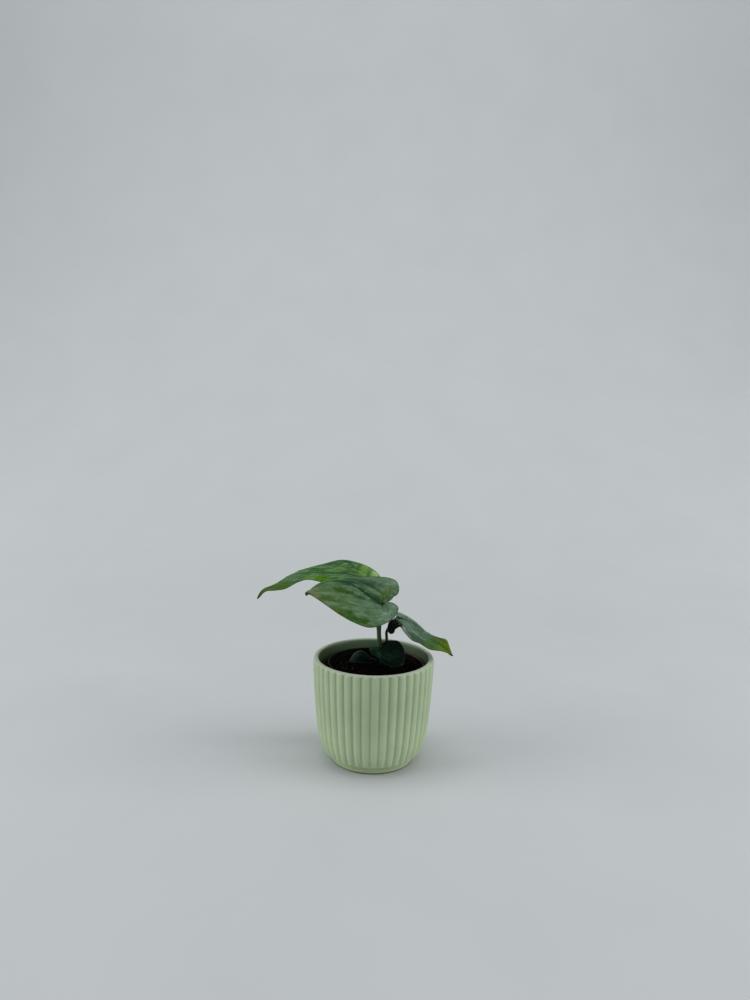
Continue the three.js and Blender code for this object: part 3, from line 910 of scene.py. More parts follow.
class PLANT_OT_stalks(bpy.types.Operator):
    """Makes the leaf stalks, which sheathe the crown and swell below their leaves"""

    bl_idname = "plant.stalks"
    bl_label = "Leaf Stalks"

    def execute(self, context):
        settings = context.scene.potted_plant.stalks
        finish = stalk_finish(settings)
        for name, stalk in STALKS.items():
            path = through(stalk["path"], STALK_RINGS)
            share = np.linspace(0, 1, len(path))
            foot, tip = stalk["radii"]
            radii = foot + (tip - foot) * share**0.6
            radii = radii * (1 + settings.swelling * bell(share - STALK_SWELLS_AT, 0.055))
            radii = radii * (1 + STALK_SHEATH * bell(share, 0.07))
            points, faces = capped_rings(flow(path, radii, STALK_SIDES), path[0], path[-1])
            along = np.concatenate([np.repeat(share, STALK_SIDES), [0, 1]])
            shade = np.full(len(points), stalk["shade"])
            piece = make_mesh(
                "stalk_" + name, points, faces, [finish],
                attributes={"along": along, "shade": shade},
            )
            dress(piece, "stalk_green", "petiole_" + name)
        return {"FINISHED"}


# Leaves: each blade is set out by its midrib and its two margins, in millimetres. The margins run from
# the notch at the stalk, round a lobe, to the tip. Rows of the blade end at shares of the margin: the
# first at first_row, and those up to lobe start from the notch. Puff is how far each half arches up, in
# millimetres, and rib_width is the half width of the line along the midrib. Gloss is the upper side's
# specular level, relief the share of the full quilting, and groove that of the midrib's groove. Seed
# picks the random pillows. Patches are painted by tint, each by its place ahead of the notch and across
# the blade, its half length and half width, its turn in degrees and its strength.
LEAVES = {
    "front": {
        "midrib": [
            (4, 0, 98), (-5.5, 3.5, 103.5), (-15.5, 6, 109), (-28, 5, 111), (-36.5, 1, 107.8),
            (-40, -1.7, 105.2), (-42.5, -3, 103.4),
        ],
        "far": [
            (7.2, 1.9, 98.5), (10.5, 3.5, 100.3), (12, 4.6, 102), (14.4, 6.2, 103.2), (15.2, 9, 106.2),
            (13.5, 13, 109.8), (8, 15.8, 111.4), (-6.5, 16.5, 111.5), (-19, 15.5, 110.5), (-30, 13, 108),
            (-36, 9, 107.2), (-39.3, 5, 105.8), (-40.8, 0.6, 104.7), (-41.2, -2.5, 104.1),
        ],
        "near": [
            (10, -2.5, 100.1), (14.5, -7, 98), (12, -12.5, 93.5), (6, -17, 90.5), (-2.5, -20, 89),
            (-11.5, -21, 92), (-20.5, -18.5, 96), (-28.5, -13.8, 100), (-36.2, -8, 103.4),
            (-39.9, -4.9, 104.5), (-41.1, -3.3, 103.9),
        ],
        "first_row": 1 / 18,
        "lobe": 0.36,
        "puff": (0.8, 2.2),
        "slot": "leaf_silver",
        "base": ((0.05, 0.105, 0.046), (0.088, 0.153, 0.08)),
        "under": (0.1, 0.15, 0.075),
        "rib": (0.008, 0.034, 0.011),
        "vein": (0.012, 0.045, 0.015),
        "rib_width": 1.0,
        "margin": (0.028, 0.04, 0.016),
        "gloss": 0.06,
        "relief": 1,
        "groove": 1,
        "seed": 16.5,
        "patches": {
            # Silver patches: the leaf's silvery colour, partly painted sheen
            "silver": [
                (12, -14, 20, 6.5, 4, 0.7), (-5, 9.5, 6, 6.5, 0, 0.95), (10, 5.5, 13, 3.2, -6, 0.5),
            ],
            "dusk": [(14, -15, 14, 3.4, -8, 0.75)],
            # Pale patches are painted whitish sheen
            "pale": [
                (-2, 13, 5.5, 1.8, -62, 0.7), (-6, -14.5, 3.5, 3, 20, 0.45), (33, 2.3, 7, 1.4, -6, 0.55),
                (31, 10, 5, 1.1, -20, 0.5), (-4.3, 11.8, 2.6, 1.3, 35, 0.8),
                (-1, 15.3, 2.4, 1.2, 20, 0.6), (-7.2, 7, 1.8, 1.2, 60, 0.5),
                (15, 15.2, 3.5, 1.1, 10, 0.4),
            ],
            # Deep patches: darker green, partly painted shade in the notch and furrows
            "deep": [
                (2.6, -1.1, 5.2, 3.7, -25, 0.84), (7, -12.6, 7.5, 1.4, -29, 0.45),
                (10.5, -5.8, 7, 1.8, -38, 0.9), (24.5, -10.8, 8, 3, -3, 0.95),
                (14.2, 1.5, 4.6, 1.5, 4, 0.95), (17, -4.6, 4.5, 1.3, -10, 0.3),
            ],
            "olive": [
                (-3, -7.5, 6.5, 3, 62, 0.6), (36, -0.9, 6, 1.5, -3, 0.7), (34, 6.6, 7.5, 1.9, -14, 0.85),
                (33, -6.5, 8, 3, 0, 0.45), (27, 14.2, 4.4, 1.9, -20, 0.95), (24, 9, 6, 2.2, -12, 0.4),
                (27, 3.5, 8, 2.6, -12, 0.45),
            ],
            "moss": [
                (24, -1, 6.5, 2.1, -10, 1), (20, 15.5, 2.6, 1.7, 0, 1), (16.5, 19, 8.5, 1.8, -12, 0.9),
                (10.3, 18.6, 3.2, 2.2, 20, 1),
            ],
            "tan": [(43, 0.6, 5.5, 4.2, -20, 0.8)],
        },
    },
    "back": {
        "midrib": [
            (-6, 27, 107.5), (-16.5, 29, 110), (-29.5, 30, 110.5), (-46, 29, 110.5), (-55.5, 27, 108),
            (-64, 24, 102.8), (-69, 22.3, 100.7), (-72.6, 21.1, 99), (-75.75, 20.1, 94.35),
        ],
        "far": [
            (3, 31.5, 108), (1, 35, 110.5), (-5, 39, 113.5), (-12.5, 42, 115.5), (-22.5, 42.9, 116.8),
            (-34, 41, 114.5), (-47, 38, 111), (-59.5, 33, 105), (-67, 28, 101.8), (-71.4, 24.8, 100.8),
            (-73.5, 23, 99.3), (-75, 21.4, 96.8),
        ],
        "near": [
            (-0.5, 24, 105), (0, 21, 102), (-5.5, 19.5, 99.5), (-14.5, 19.5, 100.5), (-24, 20.5, 103.5),
            (-35, 22.5, 106), (-44, 24, 107), (-50, 22.5, 105.5), (-58, 19, 101.8), (-65, 18.4, 100.8),
            (-69.3, 18.7, 100.3), (-71.5, 19, 99), (-73.8, 19.5, 96.3),
        ],
        "first_row": 1 / 20,
        "lobe": 0.22,
        "puff": (0.8, 0.8),
        "slot": "leaf_green",
        "base": ((0.042, 0.11, 0.029), (0.086, 0.192, 0.061)),
        "under": (0.09, 0.15, 0.06),
        "rib": (0.015, 0.05, 0.012),
        "vein": (0.028, 0.076, 0.02),
        "rib_width": 1.0,
        "margin": (0.02, 0.045, 0.016),
        "gloss": 0.05,
        "relief": 1,
        "groove": 1,
        "seed": 13.2,
        "patches": {
            "lime": [
                (-2.5, -9.5, 10, 4.6, 52, 0.9), (6.5, -8, 4.5, 2.6, 60, 0.35),
                (17, -9.6, 6, 2.1, -4, 0.4), (35.8, -4.4, 4.4, 1.8, 0, 0.95), (33, -6.2, 8, 1.3, 0, 0.45),
            ],
            "glow": [(-6.5, -4.5, 3.4, 2.6, 40, 0.85)],
            "moss": [
                (2.8, -12, 5, 1.1, 70, 0.65), (-3, -6.5, 4.5, 0.8, 75, 0.6), (56, -2.8, 6, 1, 3, 0.6),
            ],
            "dusk": [
                (14.5, -18.4, 11.5, 2.9, 2, 0.68), (20.5, -15, 6.5, 2.4, -4, 0.55),
                (9, -9.6, 3.6, 1.4, -10, 0.6),
            ],
            "deep": [
                (31.5, -12.2, 5.5, 1.5, 0, 0.6), (8.5, -15, 6, 1.7, -58, 0.6),
                (11.5, -6.6, 3.8, 0.7, -8, 0.9), (26, -6.8, 14, 0.6, -4, 0.7),
            ],
            "pale": [(24, -14, 5, 1.6, 0, 0.35), (40, -12.5, 5, 1.2, 0, 0.4)],
            "gold": [(29, -2.4, 4.8, 2.5, 3, 1)],
            # Silver patches: the leaf's silvery colour, partly painted sheen
            "silver": [
                (24, -6.2, 21, 1.3, -6, 0.5), (45, -6.8, 7, 2.2, 4, 0.9), (56, -7.5, 7, 1.2, 4, 0.6),
            ],
            "olive": [(55, -1.2, 6.5, 2.6, 3, 0.95), (66, -3.5, 12, 4.5, 0, 0.95)],
        },
    },
    "right": {
        "midrib": [
            (13.5, 3, 89), (19, 3, 87.5), (25.5, 2.5, 82.5), (33, 1, 77), (41, -1, 73), (48.84, -4, 67),
        ],
        "far": [
            (14, 8, 91), (18, 10, 89.5), (26, 11, 84.5), (31.5, 10.5, 79.5), (36, 9, 76.5),
            (41.5, 6.5, 75.5), (45.3, 4, 75.2), (47.3, 0, 71.3),
        ],
        "near": [
            (9.6, 0.6, 87.4), (8.4, -0.6, 85.5), (8.2, -1.6, 83.1), (8.8, -2.4, 80.9), (10.4, -3, 80.1),
            (12.1, -3.6, 81.1), (12.8, -4.1, 83.3), (14.2, -5.5, 85), (15.9, -6.8, 86), (18.2, -8, 83.3),
            (23, -9, 78.5), (28, -9.5, 76.5), (34, -9.5, 73), (41.5, -8, 71.5), (47, -6, 69),
        ],
        "first_row": 1 / 18,
        "lobe": 0.24,
        "puff": (0.8, 0.8),
        "slot": "leaf_green",
        "base": ((0.067, 0.117, 0.075), (0.118, 0.174, 0.129)),
        # Painted shade: the underside is dark, for the shaded lobe that hangs under the notch
        "under": (0.012, 0.028, 0.014),
        "rib": (0.05, 0.1, 0.06),
        "vein": (0.045, 0.085, 0.052),
        "rib_width": 0.9,
        "margin": (0.03, 0.035, 0.022),
        "gloss": 0.035,
        "relief": 1,
        "groove": 1,
        "seed": 16.5,
        "patches": {
            "grey": [(5, 7, 9, 3.2, 20, 0.7), (18, 9.5, 9, 1.5, -12, 0.75)],
            "deep": [(11, 4.5, 5, 0.8, -10, 0.5), (22, 3.5, 6, 0.8, -12, 0.5)],
            "shady": [(19, -7.6, 8, 2.4, -2, 0.85), (22, -1, 10, 0.9, -8, 0.7), (16, 3, 8, 0.7, -8, 0.3)],
            # Painted shade on the curled-under lobe by the notch
            "black": [(1.7, -6.9, 6.6, 4.1, -62, 1)],
            # Painted light: a pale strip along the curled margin by the notch
            "pale": [(6, -4.6, 4.8, 0.9, -62, 1)],
            "fern": [(28.5, -5.4, 6.6, 4.6, -4, 0.95), (28.5, 1.2, 4.8, 2.4, -20, 0.9)],
            "olive": [(31, 4.4, 4.4, 2.2, -10, 0.9)],
            "brass": [(39.2, 1, 8, 9, 0, 1)],
        },
    },
    "low": {
        "midrib": [(4, -1, 70), (9, -4, 69), (13.5, -9, 67), (18, -14, 64.5)],
        "far": [
            (5, 1, 72), (6.5, 4, 73), (10.5, 6.6, 73.2), (15.4, 6.3, 72.7), (18.6, 2.2, 69.6),
            (19.2, -6, 66.2),
        ],
        "near": [
            (1.5, 1.5, 70), (-2, 3, 70), (-3, 1, 69), (-1, -4, 67.5), (3, -8, 66.5), (7, -13, 64.5),
            (12.5, -16, 63.5),
        ],
        "first_row": 1 / 14,
        "lobe": 0.38,
        "puff": (0.6, 0.6),
        "slot": "leaf_dark",
        # Painted shade: this blade's colours are near black, for the deep shade it lies in inside the pot
        "base": ((0.0022, 0.0085, 0.0045), (0.0045, 0.015, 0.0085)),
        "under": (0.005, 0.012, 0.006),
        "rib": (0.004, 0.013, 0.008),
        "vein": (0.0026, 0.0095, 0.0052),
        "rib_width": 0.9,
        "margin": (0.006, 0.014, 0.009),
        "gloss": 0.02,
        "relief": 0.3,
        "groove": 0.6,
        "seed": 9.9,
        "patches": {
            "dusk": [(-4.5, -1.5, 4, 3.4, 20, 0.5), (3, -4.5, 4, 1.4, -40, 0.4)],
            # Painted shade over the blade's tip and near half
            "black": [(22.5, -2, 9.5, 14, 0, 1), (12.5, -8.2, 6.5, 3.2, -12, 1)],
        },
    },
    "small": {
        "midrib": [
            (-2.2, 1.5, 63.2), (-4.5, 2, 65.8), (-8, 2, 67.7), (-12.3, 1, 65.9), (-15.6, -1, 60.8),
        ],
        "far": [(-3.5, 4, 62.4), (-8, 5.3, 63.4), (-12.5, 3.4, 62)],
        "near": [(-2.5, -3, 61.5), (-6, -5, 62), (-11, -4, 62)],
        "first_row": 1 / 10,
        "lobe": 0.12,
        "puff": (0, 0.5),
        "slot": "leaf_dark",
        # Painted shade: this blade's colours are near black, for the deep shade it lies in inside the pot
        "base": ((0.0025, 0.0078, 0.0058), (0.0046, 0.0125, 0.0102)),
        "under": (0.005, 0.012, 0.008),
        # Painted highlight along the crest of the arched midrib
        "rib": (0.075, 0.07, 0.063),
        "vein": (0.002, 0.006, 0.005),
        "rib_width": 0.95,
        "margin": (0.012, 0.02, 0.016),
        "gloss": 0.02,
        "relief": 0.3,
        "groove": 0,
        "seed": 16.5,
        "patches": {
            "dusk": [(9, 0.9, 3.4, 1.7, 0, 0.35)],
            # Painted shade over the blade's far half
            "black": [(5, 6, 12, 3.4, 0, 1)],
        },
    },
}

TINTS = {
    # Silver is partly the leaf's own silvery colour and partly a painted sheen; pale is a painted whitish
    # sheen
    "silver": (0.08, 0.142, 0.082),
    "pale": (0.14, 0.215, 0.14),
    "grey": (0.17, 0.21, 0.185),
    "shady": (0.032, 0.065, 0.032),
    # Deep is partly the leaf's own darker green and partly painted shade in the notch and furrows
    "deep": (0.009, 0.042, 0.013),
    # Black is painted shade
    "black": (0.0006, 0.0035, 0.0014),
    "dusk": (0.02, 0.055, 0.028),
    "moss": (0.02, 0.066, 0.002),
    "fern": (0.05, 0.108, 0.019),
    "olive": (0.055, 0.1, 0.012),
    "tan": (0.125, 0.16, 0.065),
    "lime": (0.11, 0.215, 0.045),
    "glow": (0.24, 0.37, 0.14),
    "gold": (0.062, 0.158, 0.003),
    "brass": (0.078, 0.13, 0.0),
}
# The tints that also show on the underside, and how strongly
SHOW_THROUGH = ("black", "gold", "brass", "lime")
SHOW_STRENGTH = 0.6

# Side veins by the row of the blade they start in at the midrib, the row they reach at the margin, and
# their strength. Rows count 0 to 1 round the lobe and 1 to 2 from the notch to the tip, so a vein that
# ends past 2 fades out at the tip.
VEINS = np.array(
    [
        (0.05, 0.12, 0.5), (0.28, 0.4, 0.5), (0.46, 0.95, 0.5), (0.56, 1.4, 0.35),
        (0.66, 1.93, 0.8), (1, 2.5, 1), (1.15, 2.7, 0.35), (1.35, 2.8, 0.45), (1.6, 2.9, 0.3),
        (1.82, 3, 0.3),
    ]
)
VEIN_CURVE = 1.25


def blade_rows(leaf):
    """Share of the margin at which each row of a blade ends."""
    return np.linspace(leaf["first_row"], 1, BLADE_ROWS)


def blade_half(leaf, side, spine):
    """Rows of points from the midrib to one margin, and the margin itself."""
    margin = through([leaf["midrib"][0], *leaf[side], leaf["midrib"][-1]])
    rows = blade_rows(leaf)
    roots = at_share(spine, np.clip((rows - leaf["lobe"]) / (1 - leaf["lobe"]), 0, 1))
    ends = at_share(margin, rows)
    across = ACROSS[None, :, None]
    return roots[:, None] * (1 - across) + ends[:, None] * across, margin


def vein_field(points, leaf):
    """How high each point is puffed up between two side veins, and how strongly a vein marks it."""
    rows = blade_rows(leaf)
    lobe = leaf["lobe"]
    place = np.where(rows < lobe, rows / lobe, 1 + (rows - lobe) / (1 - lobe))
    starts, ends, strengths = VEINS.T
    lines = starts + (ends - starts) * ACROSS[:, None] ** VEIN_CURVE
    below = np.stack(
        [np.searchsorted(line, place, "right") - 1 for line in lines], 1
    ).clip(0, len(VEINS) - 2)
    columns = np.arange(len(ACROSS))
    down, along = np.gradient(points, axis=0), np.gradient(points, axis=1)
    e, f, g = ((p * q).sum(-1) for p, q in ((down, down), (down, along), (along, along)))
    area = np.maximum(e * g - f * f, 1e-9)
    row_step = np.gradient(place)[:, None]
    line_step = np.gradient(lines, axis=0)
    gaps = []
    for vein in (below, below + 1):
        turn = -line_step[columns, vein]
        steep = (g * row_step**2 - 2 * f * row_step * turn + e * turn**2) / area
        gap = np.abs(place[:, None] - lines[columns, vein])
        gaps.append(gap / np.sqrt(np.maximum(steep, 1e-9)))
    low, high = gaps
    spacing = low + high
    quilt = np.sin(np.pi * low / np.maximum(spacing, 1e-6)) ** QUILT_ROUNDNESS
    quilt = quilt * eased(spacing, *QUILT_SPACING)
    mark = np.maximum(
        strengths[below] * bell(low, VEIN_WIDTH), strengths[below + 1] * bell(high, VEIN_WIDTH)
    )
    return quilt, mark


def sheet_normals(points, faces):
    """Smooth normals of a sheet of quads and triangles."""
    corners = np.array([(*f, f[-1])[:4] for f in faces])
    a, b, c, d = (points[corners[:, i]] for i in range(4))
    facing = np.cross(c - a, d - b)
    flat = np.linalg.norm(facing, axis=1) < 1e-12
    facing[flat] = np.cross(b[flat] - a[flat], c[flat] - a[flat])
    normals = np.zeros_like(points)
    for i in range(4):
        np.add.at(normals, corners[:, i], facing)
    length = np.linalg.norm(normals, axis=1)[:, None]
    return normals / np.maximum(length, 1e-12)


def join_halves(lobe_rows):
    """Number of the point at each row and column of both halves, which share the midrib."""
    numbers, total = [], 0
    for side in range(2):
        own = np.zeros((BLADE_ROWS, len(ACROSS)), int)
        first = own if side == 0 else numbers[0]
        for k in range(BLADE_ROWS):
            for j in range(len(ACROSS)):
                at_tip = k == BLADE_ROWS - 1 and j > 0
                on_first_rib = side == 1 and j == 0
                at_notch = j == 0 and k > 0 and lobe_rows[k]
                if at_tip or on_first_rib:
                    own[k, j] = first[k, 0]
                elif at_notch:
                    own[k, j] = own[0, 0]
                else:
                    own[k, j] = total
                    total += 1
        numbers.append(own)
    return numbers, total


def gather(numbers, total, grids):
    """Values of both halves in the order of the joined points."""
    values = np.zeros((total, *grids[0].shape[2:]))
    for own, grid in reversed(list(zip(numbers, grids))):
        values[own.ravel()] = grid.reshape(-1, *grid.shape[2:])
    return values


def blade_faces(numbers):
    """Faces between the joined points, turned the same way on both halves."""
    faces = []
    for side, own in enumerate(numbers):
        for k in range(BLADE_ROWS - 1):
            for j in range(len(ACROSS) - 1):
                loop = [own[k, j], own[k, j + 1], own[k + 1, j + 1], own[k + 1, j]]
                loop = [p for i, p in enumerate(loop) if p != loop[i - 1]]
                if len(loop) > 2:
                    faces.append(tuple(loop if side == 0 else loop[::-1]))
    return faces


def both_skins(faces, total):
    """Faces of both skins of a blade and the rim between them, and the finish that each takes."""
    edges = {(a, b) for face in faces for a, b in zip(face, (*face[1:], face[0]))}
    rim = [(b, a, a + total, b + total) for a, b in edges if (b, a) not in edges]
    lower = [tuple(i + total for i in face[::-1]) for face in faces]
    finishes = [0] * len(faces) + [1] * len(lower) + [0] * len(rim)
    return [*faces, *lower, *rim], finishes


def blade_axes(points, notch, tip, facing):
    """How far each point lies ahead of the notch, and how far to the side of it."""
    forward = np.array(tip) - notch
    forward /= np.linalg.norm(forward)
    sideways = np.cross(facing, forward)
    sideways /= np.linalg.norm(sideways)
    return (points - notch) @ forward, (points - notch) @ sideways


def tint_masks(patches, ahead, aside, points):
    """The painted patches as masks from 0 to 1 with ragged edges, one for each tint."""
    ragged = PATCH_RAGGED * rough(points, 1.7, 3, 7.7)
    masks = {tint: np.zeros(len(points)) for tint in patches}
    for tint, group in patches.items():
        for centre_ahead, centre_aside, length, width, turn, strength in group:
            turn = math.radians(turn)
            x, y = ahead - centre_ahead, aside - centre_aside
            lengthwise = (x * math.cos(turn) + y * math.sin(turn)) / length
            crosswise = (y * math.cos(turn) - x * math.sin(turn)) / width
            outside = (np.hypot(lengthwise, crosswise) - 1) * min(length, width) + ragged
            mask = strength * (1 - eased(outside, -PATCH_SOFTNESS, PATCH_SOFTNESS))
            masks[tint] = np.maximum(masks[tint], mask)
    return masks


def build_blade(leaf, settings):
    """Points, faces, face materials and painted attributes of one blade."""
    spine = through(leaf["midrib"])
    halves = [blade_half(leaf, side, spine) for side in ("far", "near")]
    grids = [grid for grid, _ in halves]
    numbers, total = join_halves(blade_rows(leaf) <= leaf["lobe"])
    fields = [vein_field(grid, leaf) for grid in grids]
    arches = [np.tile(height * 4 * ACROSS * (1 - ACROSS), (BLADE_ROWS, 1)) for height in leaf["puff"]]
    points = gather(numbers, total, grids)
    quilt = gather(numbers, total, [field[0] for field in fields])
    vein = gather(numbers, total, [field[1] for field in fields])
    arch = gather(numbers, total, arches)
    faces = blade_faces(numbers)
    flat = sheet_normals(points, faces)
    if flat[:, 2].mean() < 0:
        faces = [face[::-1] for face in faces]
        flat = -flat

    outline = np.concatenate([halves[0][1], halves[1][1][::-1]])
    from_rib, along = nearest(points, spine)
    from_edge, _ = nearest(points, outline)
    calm = eased(from_rib, *QUILT_FROM_RIB) * eased(from_edge, *QUILT_FROM_EDGE)
    inland = eased(from_edge, 0, 1.5)
    pillows = PILLOW_MEAN + PILLOW_SWING * rough(points, PILLOW_SIZE, 2, leaf["seed"])
    puckers = PUCKER_HEIGHT * rough(points, PUCKER_SIZE, 3, 5.1) * calm
    vein = vein * eased(from_rib, *VEIN_FROM_RIB) * eased(from_edge, *VEIN_FROM_EDGE)
    groove = MIDRIB_GROOVE * bell(from_rib, MIDRIB_WIDTH) * (1 - MIDRIB_FADE * along)
    groove = groove * leaf["groove"] * inland
    lift = arch + leaf["relief"] * (settings.quilting / MM * quilt * calm * pillows + puckers)
    lift = lift - leaf["relief"] * settings.vein_groove / MM * vein - groove
    upper = points + flat * lift[:, None]
    full = EDGE_THICKNESS + (1 - EDGE_THICKNESS) * eased(from_edge, 0, 1)
    thick = settings.thickness / MM * full
    ribs = (UNDER_RIB_HEIGHT - UNDER_RIB_FALL * along) * bell(from_rib, UNDER_RIB_WIDTH)
    ribs = ribs + UNDER_VEIN * vein
    lower = upper - sheet_normals(upper, faces) * (thick + ribs * inland)[:, None]

    notch = points[numbers[0][0, 0]]
    ahead, aside = blade_axes(points, notch, leaf["midrib"][-1], flat.mean(0))
    paint = {
        "from_rib": from_rib, "from_edge": from_edge, "vein": vein, "along": along,
        "ahead": ahead, "aside": aside, **tint_masks(leaf["patches"], ahead, aside, points),
    }
    paint = {title: np.concatenate([values, values]) for title, values in paint.items()}
    return np.concatenate([upper, lower]), *both_skins(faces, total), paint


def leaf_finish(name, leaf):
    """The streaked and painted upper side of a leaf, with dark veins and a dry tip."""
    look = Finish("leaf_" + name + "_upper", Specular_IOR_Level=leaf["gloss"])
    streak = look.streaks(STREAK_SIZE, STREAK_STRETCH)
    fine = look.noise(0.7, 4, 0.6)
    dark, light = leaf["base"]
    colour = look.mix(look.between(streak, 0.36, 0.64), dark, light)
    # Patches include painted sheen (silver, pale) and painted shade (black, deep) laid over the leaf's
    # own colours
    for tint in leaf["patches"]:
        colour = look.mix(look.attribute(tint), colour, TINTS[tint])
    shade = look.between(look.attribute("vein"), 0.1, 1.0, 0.0, 0.55)
    colour = look.mix(shade, colour, leaf["vein"])
    # The line along the midrib takes the rib colour: on most blades a darker green, partly painted shade
    # in the midrib's groove, and on the small blade a painted highlight along its arched crest
    rib = look.between(look.attribute("from_rib"), 0.3, leaf["rib_width"], 0.9, 0.0)
    rib = look.math("MULTIPLY", rib, look.between(streak, 0.4, 0.58, 0.5, 1.0))
    colour = look.mix(rib, colour, leaf["rib"])
    edge = look.between(look.attribute("from_edge"), 0.2, 0.55, 0.85, 0.0)
    colour = look.mix(edge, colour, leaf["margin"])
    colour = look.mix(look.between(look.attribute("along"), 0.972, 0.99), colour, DRY_TIP)
    mottle = look.math("ADD", look.math("MULTIPLY", fine, 0.6), streak)
    mottle = look.between(mottle, 0.62, 0.98, 0.8, 1.2)
    colour = look.mix(1.0, colour, look.grey(mottle), "MULTIPLY")
    relief = look.bump(look.cells(0.9), 0.06, 0.5)
    relief = look.bump(streak, 0.15, 0.5, relief)
    gloss = look.between(streak, 0.3, 0.7, 0.4, 0.54)
    return look.wear(Base_Color=colour, Roughness=gloss, Normal=relief)


def underside_finish(name, leaf):
    """The duller lower side of a leaf, with pale raised veins."""
    look = Finish("leaf_" + name + "_underside", Specular_IOR_Level=leaf["gloss"] * 0.7)
    streak = look.streaks(STREAK_SIZE, STREAK_STRETCH)
    fine = look.noise(0.6, 4, 0.6)
    colour = look.mix(look.between(streak, 0.35, 0.65, 0.0, 0.6), leaf["under"], leaf["base"][1])
    for tint in SHOW_THROUGH:
        if tint in leaf["patches"]:
            colour = look.mix(look.attribute(tint, SHOW_STRENGTH), colour, TINTS[tint])
    raised = look.between(look.attribute("from_rib"), 0.3, 1.0, 0.6, 0.0)
    raised = look.math("ADD", raised, look.attribute("vein", 0.4), True)
    colour = look.mix(raised, colour, tuple(1.35 * c for c in leaf["under"]))
    colour = look.mix(look.between(look.attribute("along"), 0.955, 0.985), colour, DRY_TIP)
    gloss = look.between(fine, 0.3, 0.7, 0.52, 0.66)
    relief = look.bump(look.cells(0.7), 0.07, 0.6)
    return look.wear(Base_Color=colour, Roughness=gloss, Normal=relief)


class PLANT_OT_leaves(bpy.types.Operator):
    """Makes the five leaf blades, quilted between their side veins"""

    bl_idname = "plant.leaves"
    bl_label = "Leaves"

    def execute(self, context):
        settings = context.scene.potted_plant.leaves
        for name, leaf in LEAVES.items():
            points, faces, kinds, paint = build_blade(leaf, settings)
            finishes = [leaf_finish(name, leaf), underside_finish(name, leaf)]
            piece = make_mesh("blade_" + name, points, faces, finishes, kinds, paint)
            dress(piece, leaf["slot"], "leaf_" + name)
        return {"FINISHED"}


# Stage: floor, light and camera

CAMERA_PLACE = (0, -0.4531, 0.2183)
CAMERA_PITCH = math.radians(6.97)
CAMERA_ROLL = math.radians(1.09)
CAMERA_YAW = math.radians(-0.13)
CAMERA_LENS = 27.04
STAGE_WIDTH = 5.0
FLOOR_DROP = 0.02
FLOOR_TINTS = ((0.455, 0.477, 0.483), (0.468, 0.488, 0.494))
ROOM_COLOUR = (0.95, 0.98, 1)
ROOM_STRENGTH = 0.64

# Soft lights by name: place, point aimed at, width and height in metres, and power in watts
LIGHTS = {
    "left_panel": ((-1.08, -0.19, 0.42), (0, 0, 0.05), (0.8, 0.8), 6.8),
    "right_panel": ((1.08, -0.19, 0.42), (0, 0, 0.05), (0.8, 0.8), 6.8),
    "top_panel": ((0, 0.2, 1.3), (0, 0.05, 0), (1.0, 0.8), 1.5),
    "backdrop_panel": ((0, 0.2, 1.9), (0, 1.2, 0.6), (2.0, 0.4), 9),
}


def floor_finish():
    look = Finish("pale_studio_floor", Specular_IOR_Level=0.05)
    colour = look.mix(look.between(look.noise(90, 2), 0.3, 0.7), *FLOOR_TINTS)
    return look.wear(Base_Color=colour, Roughness=0.95)


def add_light(name, place, target, size, power):
    light = bpy.data.lights.new(name, "AREA")
    light.shape = "RECTANGLE"
    light.size, light.size_y = size
    light.energy = power
    lamp = bpy.data.objects.new(name, light)
    bpy.context.scene.collection.objects.link(lamp)
    lamp.location = place
    aim = Vector(target) - Vector(place)
    lamp.rotation_euler = aim.to_track_quat("-Z", "Y").to_euler()


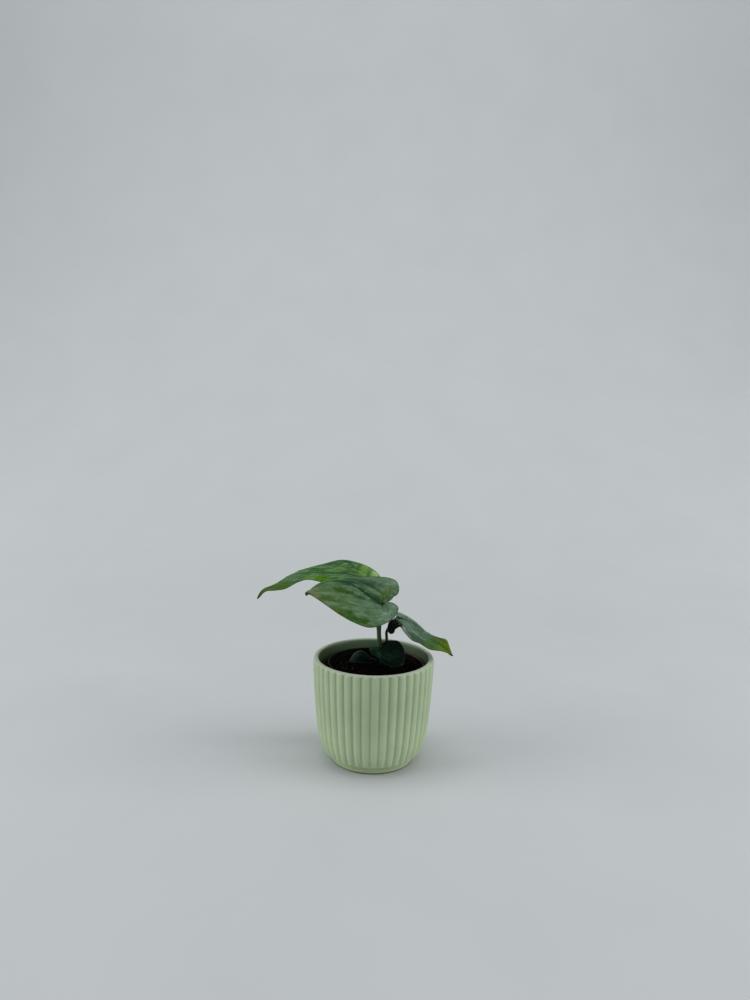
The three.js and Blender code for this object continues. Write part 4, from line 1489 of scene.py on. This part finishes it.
class PLANT_OT_stage(bpy.types.Operator):
    """Makes the pale floor that sweeps up behind the plant, the soft lights and the camera"""

    bl_idname = "plant.stage"
    bl_label = "Stage"

    def execute(self, context):
        self.make_floor()
        self.make_camera(context.scene)
        for name, (place, target, size, power) in LIGHTS.items():
            add_light(name, place, target, size, power)
        world = bpy.data.worlds.new("soft_room")
        world.use_nodes = True
        room = world.node_tree.nodes["Background"].inputs
        room["Color"].default_value = (*ROOM_COLOUR, 1)
        room["Strength"].default_value = ROOM_STRENGTH
        context.scene.world = world
        context.scene.view_settings.view_transform = "Standard"
        return {"FINISHED"}

    def make_floor(self):
        """Makes a flat floor that bends up into a wall, all in metres."""
        bend, depth, height, columns = 0.9, 1.2, 3.0, 9
        section = [(-2.0, 0), (0.0, 0), (depth - bend, 0)]
        for turn in np.linspace(0, math.pi / 2, 13)[1:]:
            section.append((depth - bend + bend * math.sin(turn), bend - bend * math.cos(turn)))
        section.append((depth, height))
        across = np.linspace(-STAGE_WIDTH / 2, STAGE_WIDTH / 2, columns)
        points = [(x / MM, y / MM, z / MM - FLOOR_DROP) for y, z in section for x in across]
        faces = []
        for k in range(len(section) - 1):
            for a in range(k * columns, (k + 1) * columns - 1):
                faces.append((a, a + 1, a + 1 + columns, a + columns))
        make_mesh("studio_floor", points, faces, [floor_finish()])

    def make_camera(self, scene):
        """Sets up the camera as it was fitted to the photograph."""
        camera = bpy.data.cameras.new("studio_camera")
        camera.lens = CAMERA_LENS
        camera.sensor_width = 36
        camera.clip_start = 0.01
        camera.clip_end = 20
        viewer = bpy.data.objects.new("studio_camera", camera)
        scene.collection.objects.link(viewer)
        level_ahead = Vector((math.sin(CAMERA_YAW), math.cos(CAMERA_YAW), 0))
        forward = level_ahead * math.cos(CAMERA_PITCH) - Vector((0, 0, math.sin(CAMERA_PITCH)))
        level = forward.cross(Vector((0, 0, 1))).normalized()
        upward = level.cross(forward)
        right = level * math.cos(CAMERA_ROLL) + upward * math.sin(CAMERA_ROLL)
        top = upward * math.cos(CAMERA_ROLL) - level * math.sin(CAMERA_ROLL)
        turn = Matrix((right, top, -forward)).transposed()
        viewer.matrix_world = Matrix.Translation(CAMERA_PLACE) @ turn.to_4x4()
        scene.camera = viewer


class PLANT_PT_panel(bpy.types.Panel):
    """Lists the sizes and colours of the plant, and the operators that make it"""

    bl_label = "Potted Plant"
    bl_space_type = "VIEW_3D"
    bl_region_type = "UI"
    bl_category = "Potted Plant"

    def draw(self, context):
        plant = context.scene.potted_plant
        for title in ("glaze", "nursery", "soil", "stalks", "leaves"):
            group = getattr(plant, title)
            box = self.layout.box()
            box.label(text=title.capitalize())
            for prop in group.__annotations__:
                box.prop(group, prop)
        for operator in OPERATORS:
            self.layout.operator(operator.bl_idname)


SETTINGS = (
    GlazeSettings,
    NurserySettings,
    SoilSettings,
    StalkSettings,
    LeafSettings,
    PlantSettings,
)
OPERATORS = (
    PLANT_OT_ceramic_pot,
    PLANT_OT_nursery_pot,
    PLANT_OT_potting_mix,
    PLANT_OT_stem,
    PLANT_OT_stalks,
    PLANT_OT_leaves,
    PLANT_OT_stage,
)


def register():
    for item in (*SETTINGS, *OPERATORS, PLANT_PT_panel):
        bpy.utils.register_class(item)
    bpy.types.Scene.potted_plant = PointerProperty(type=PlantSettings)


def unregister():
    del bpy.types.Scene.potted_plant
    for item in reversed((*SETTINGS, *OPERATORS, PLANT_PT_panel)):
        bpy.utils.unregister_class(item)


def main():
    register()
    bpy.ops.plant.ceramic_pot()
    bpy.ops.plant.nursery_pot()
    bpy.ops.plant.potting_mix()
    bpy.ops.plant.stem()
    bpy.ops.plant.stalks()
    bpy.ops.plant.leaves()
    bpy.ops.plant.stage()


if __name__ == "__main__":
    main()
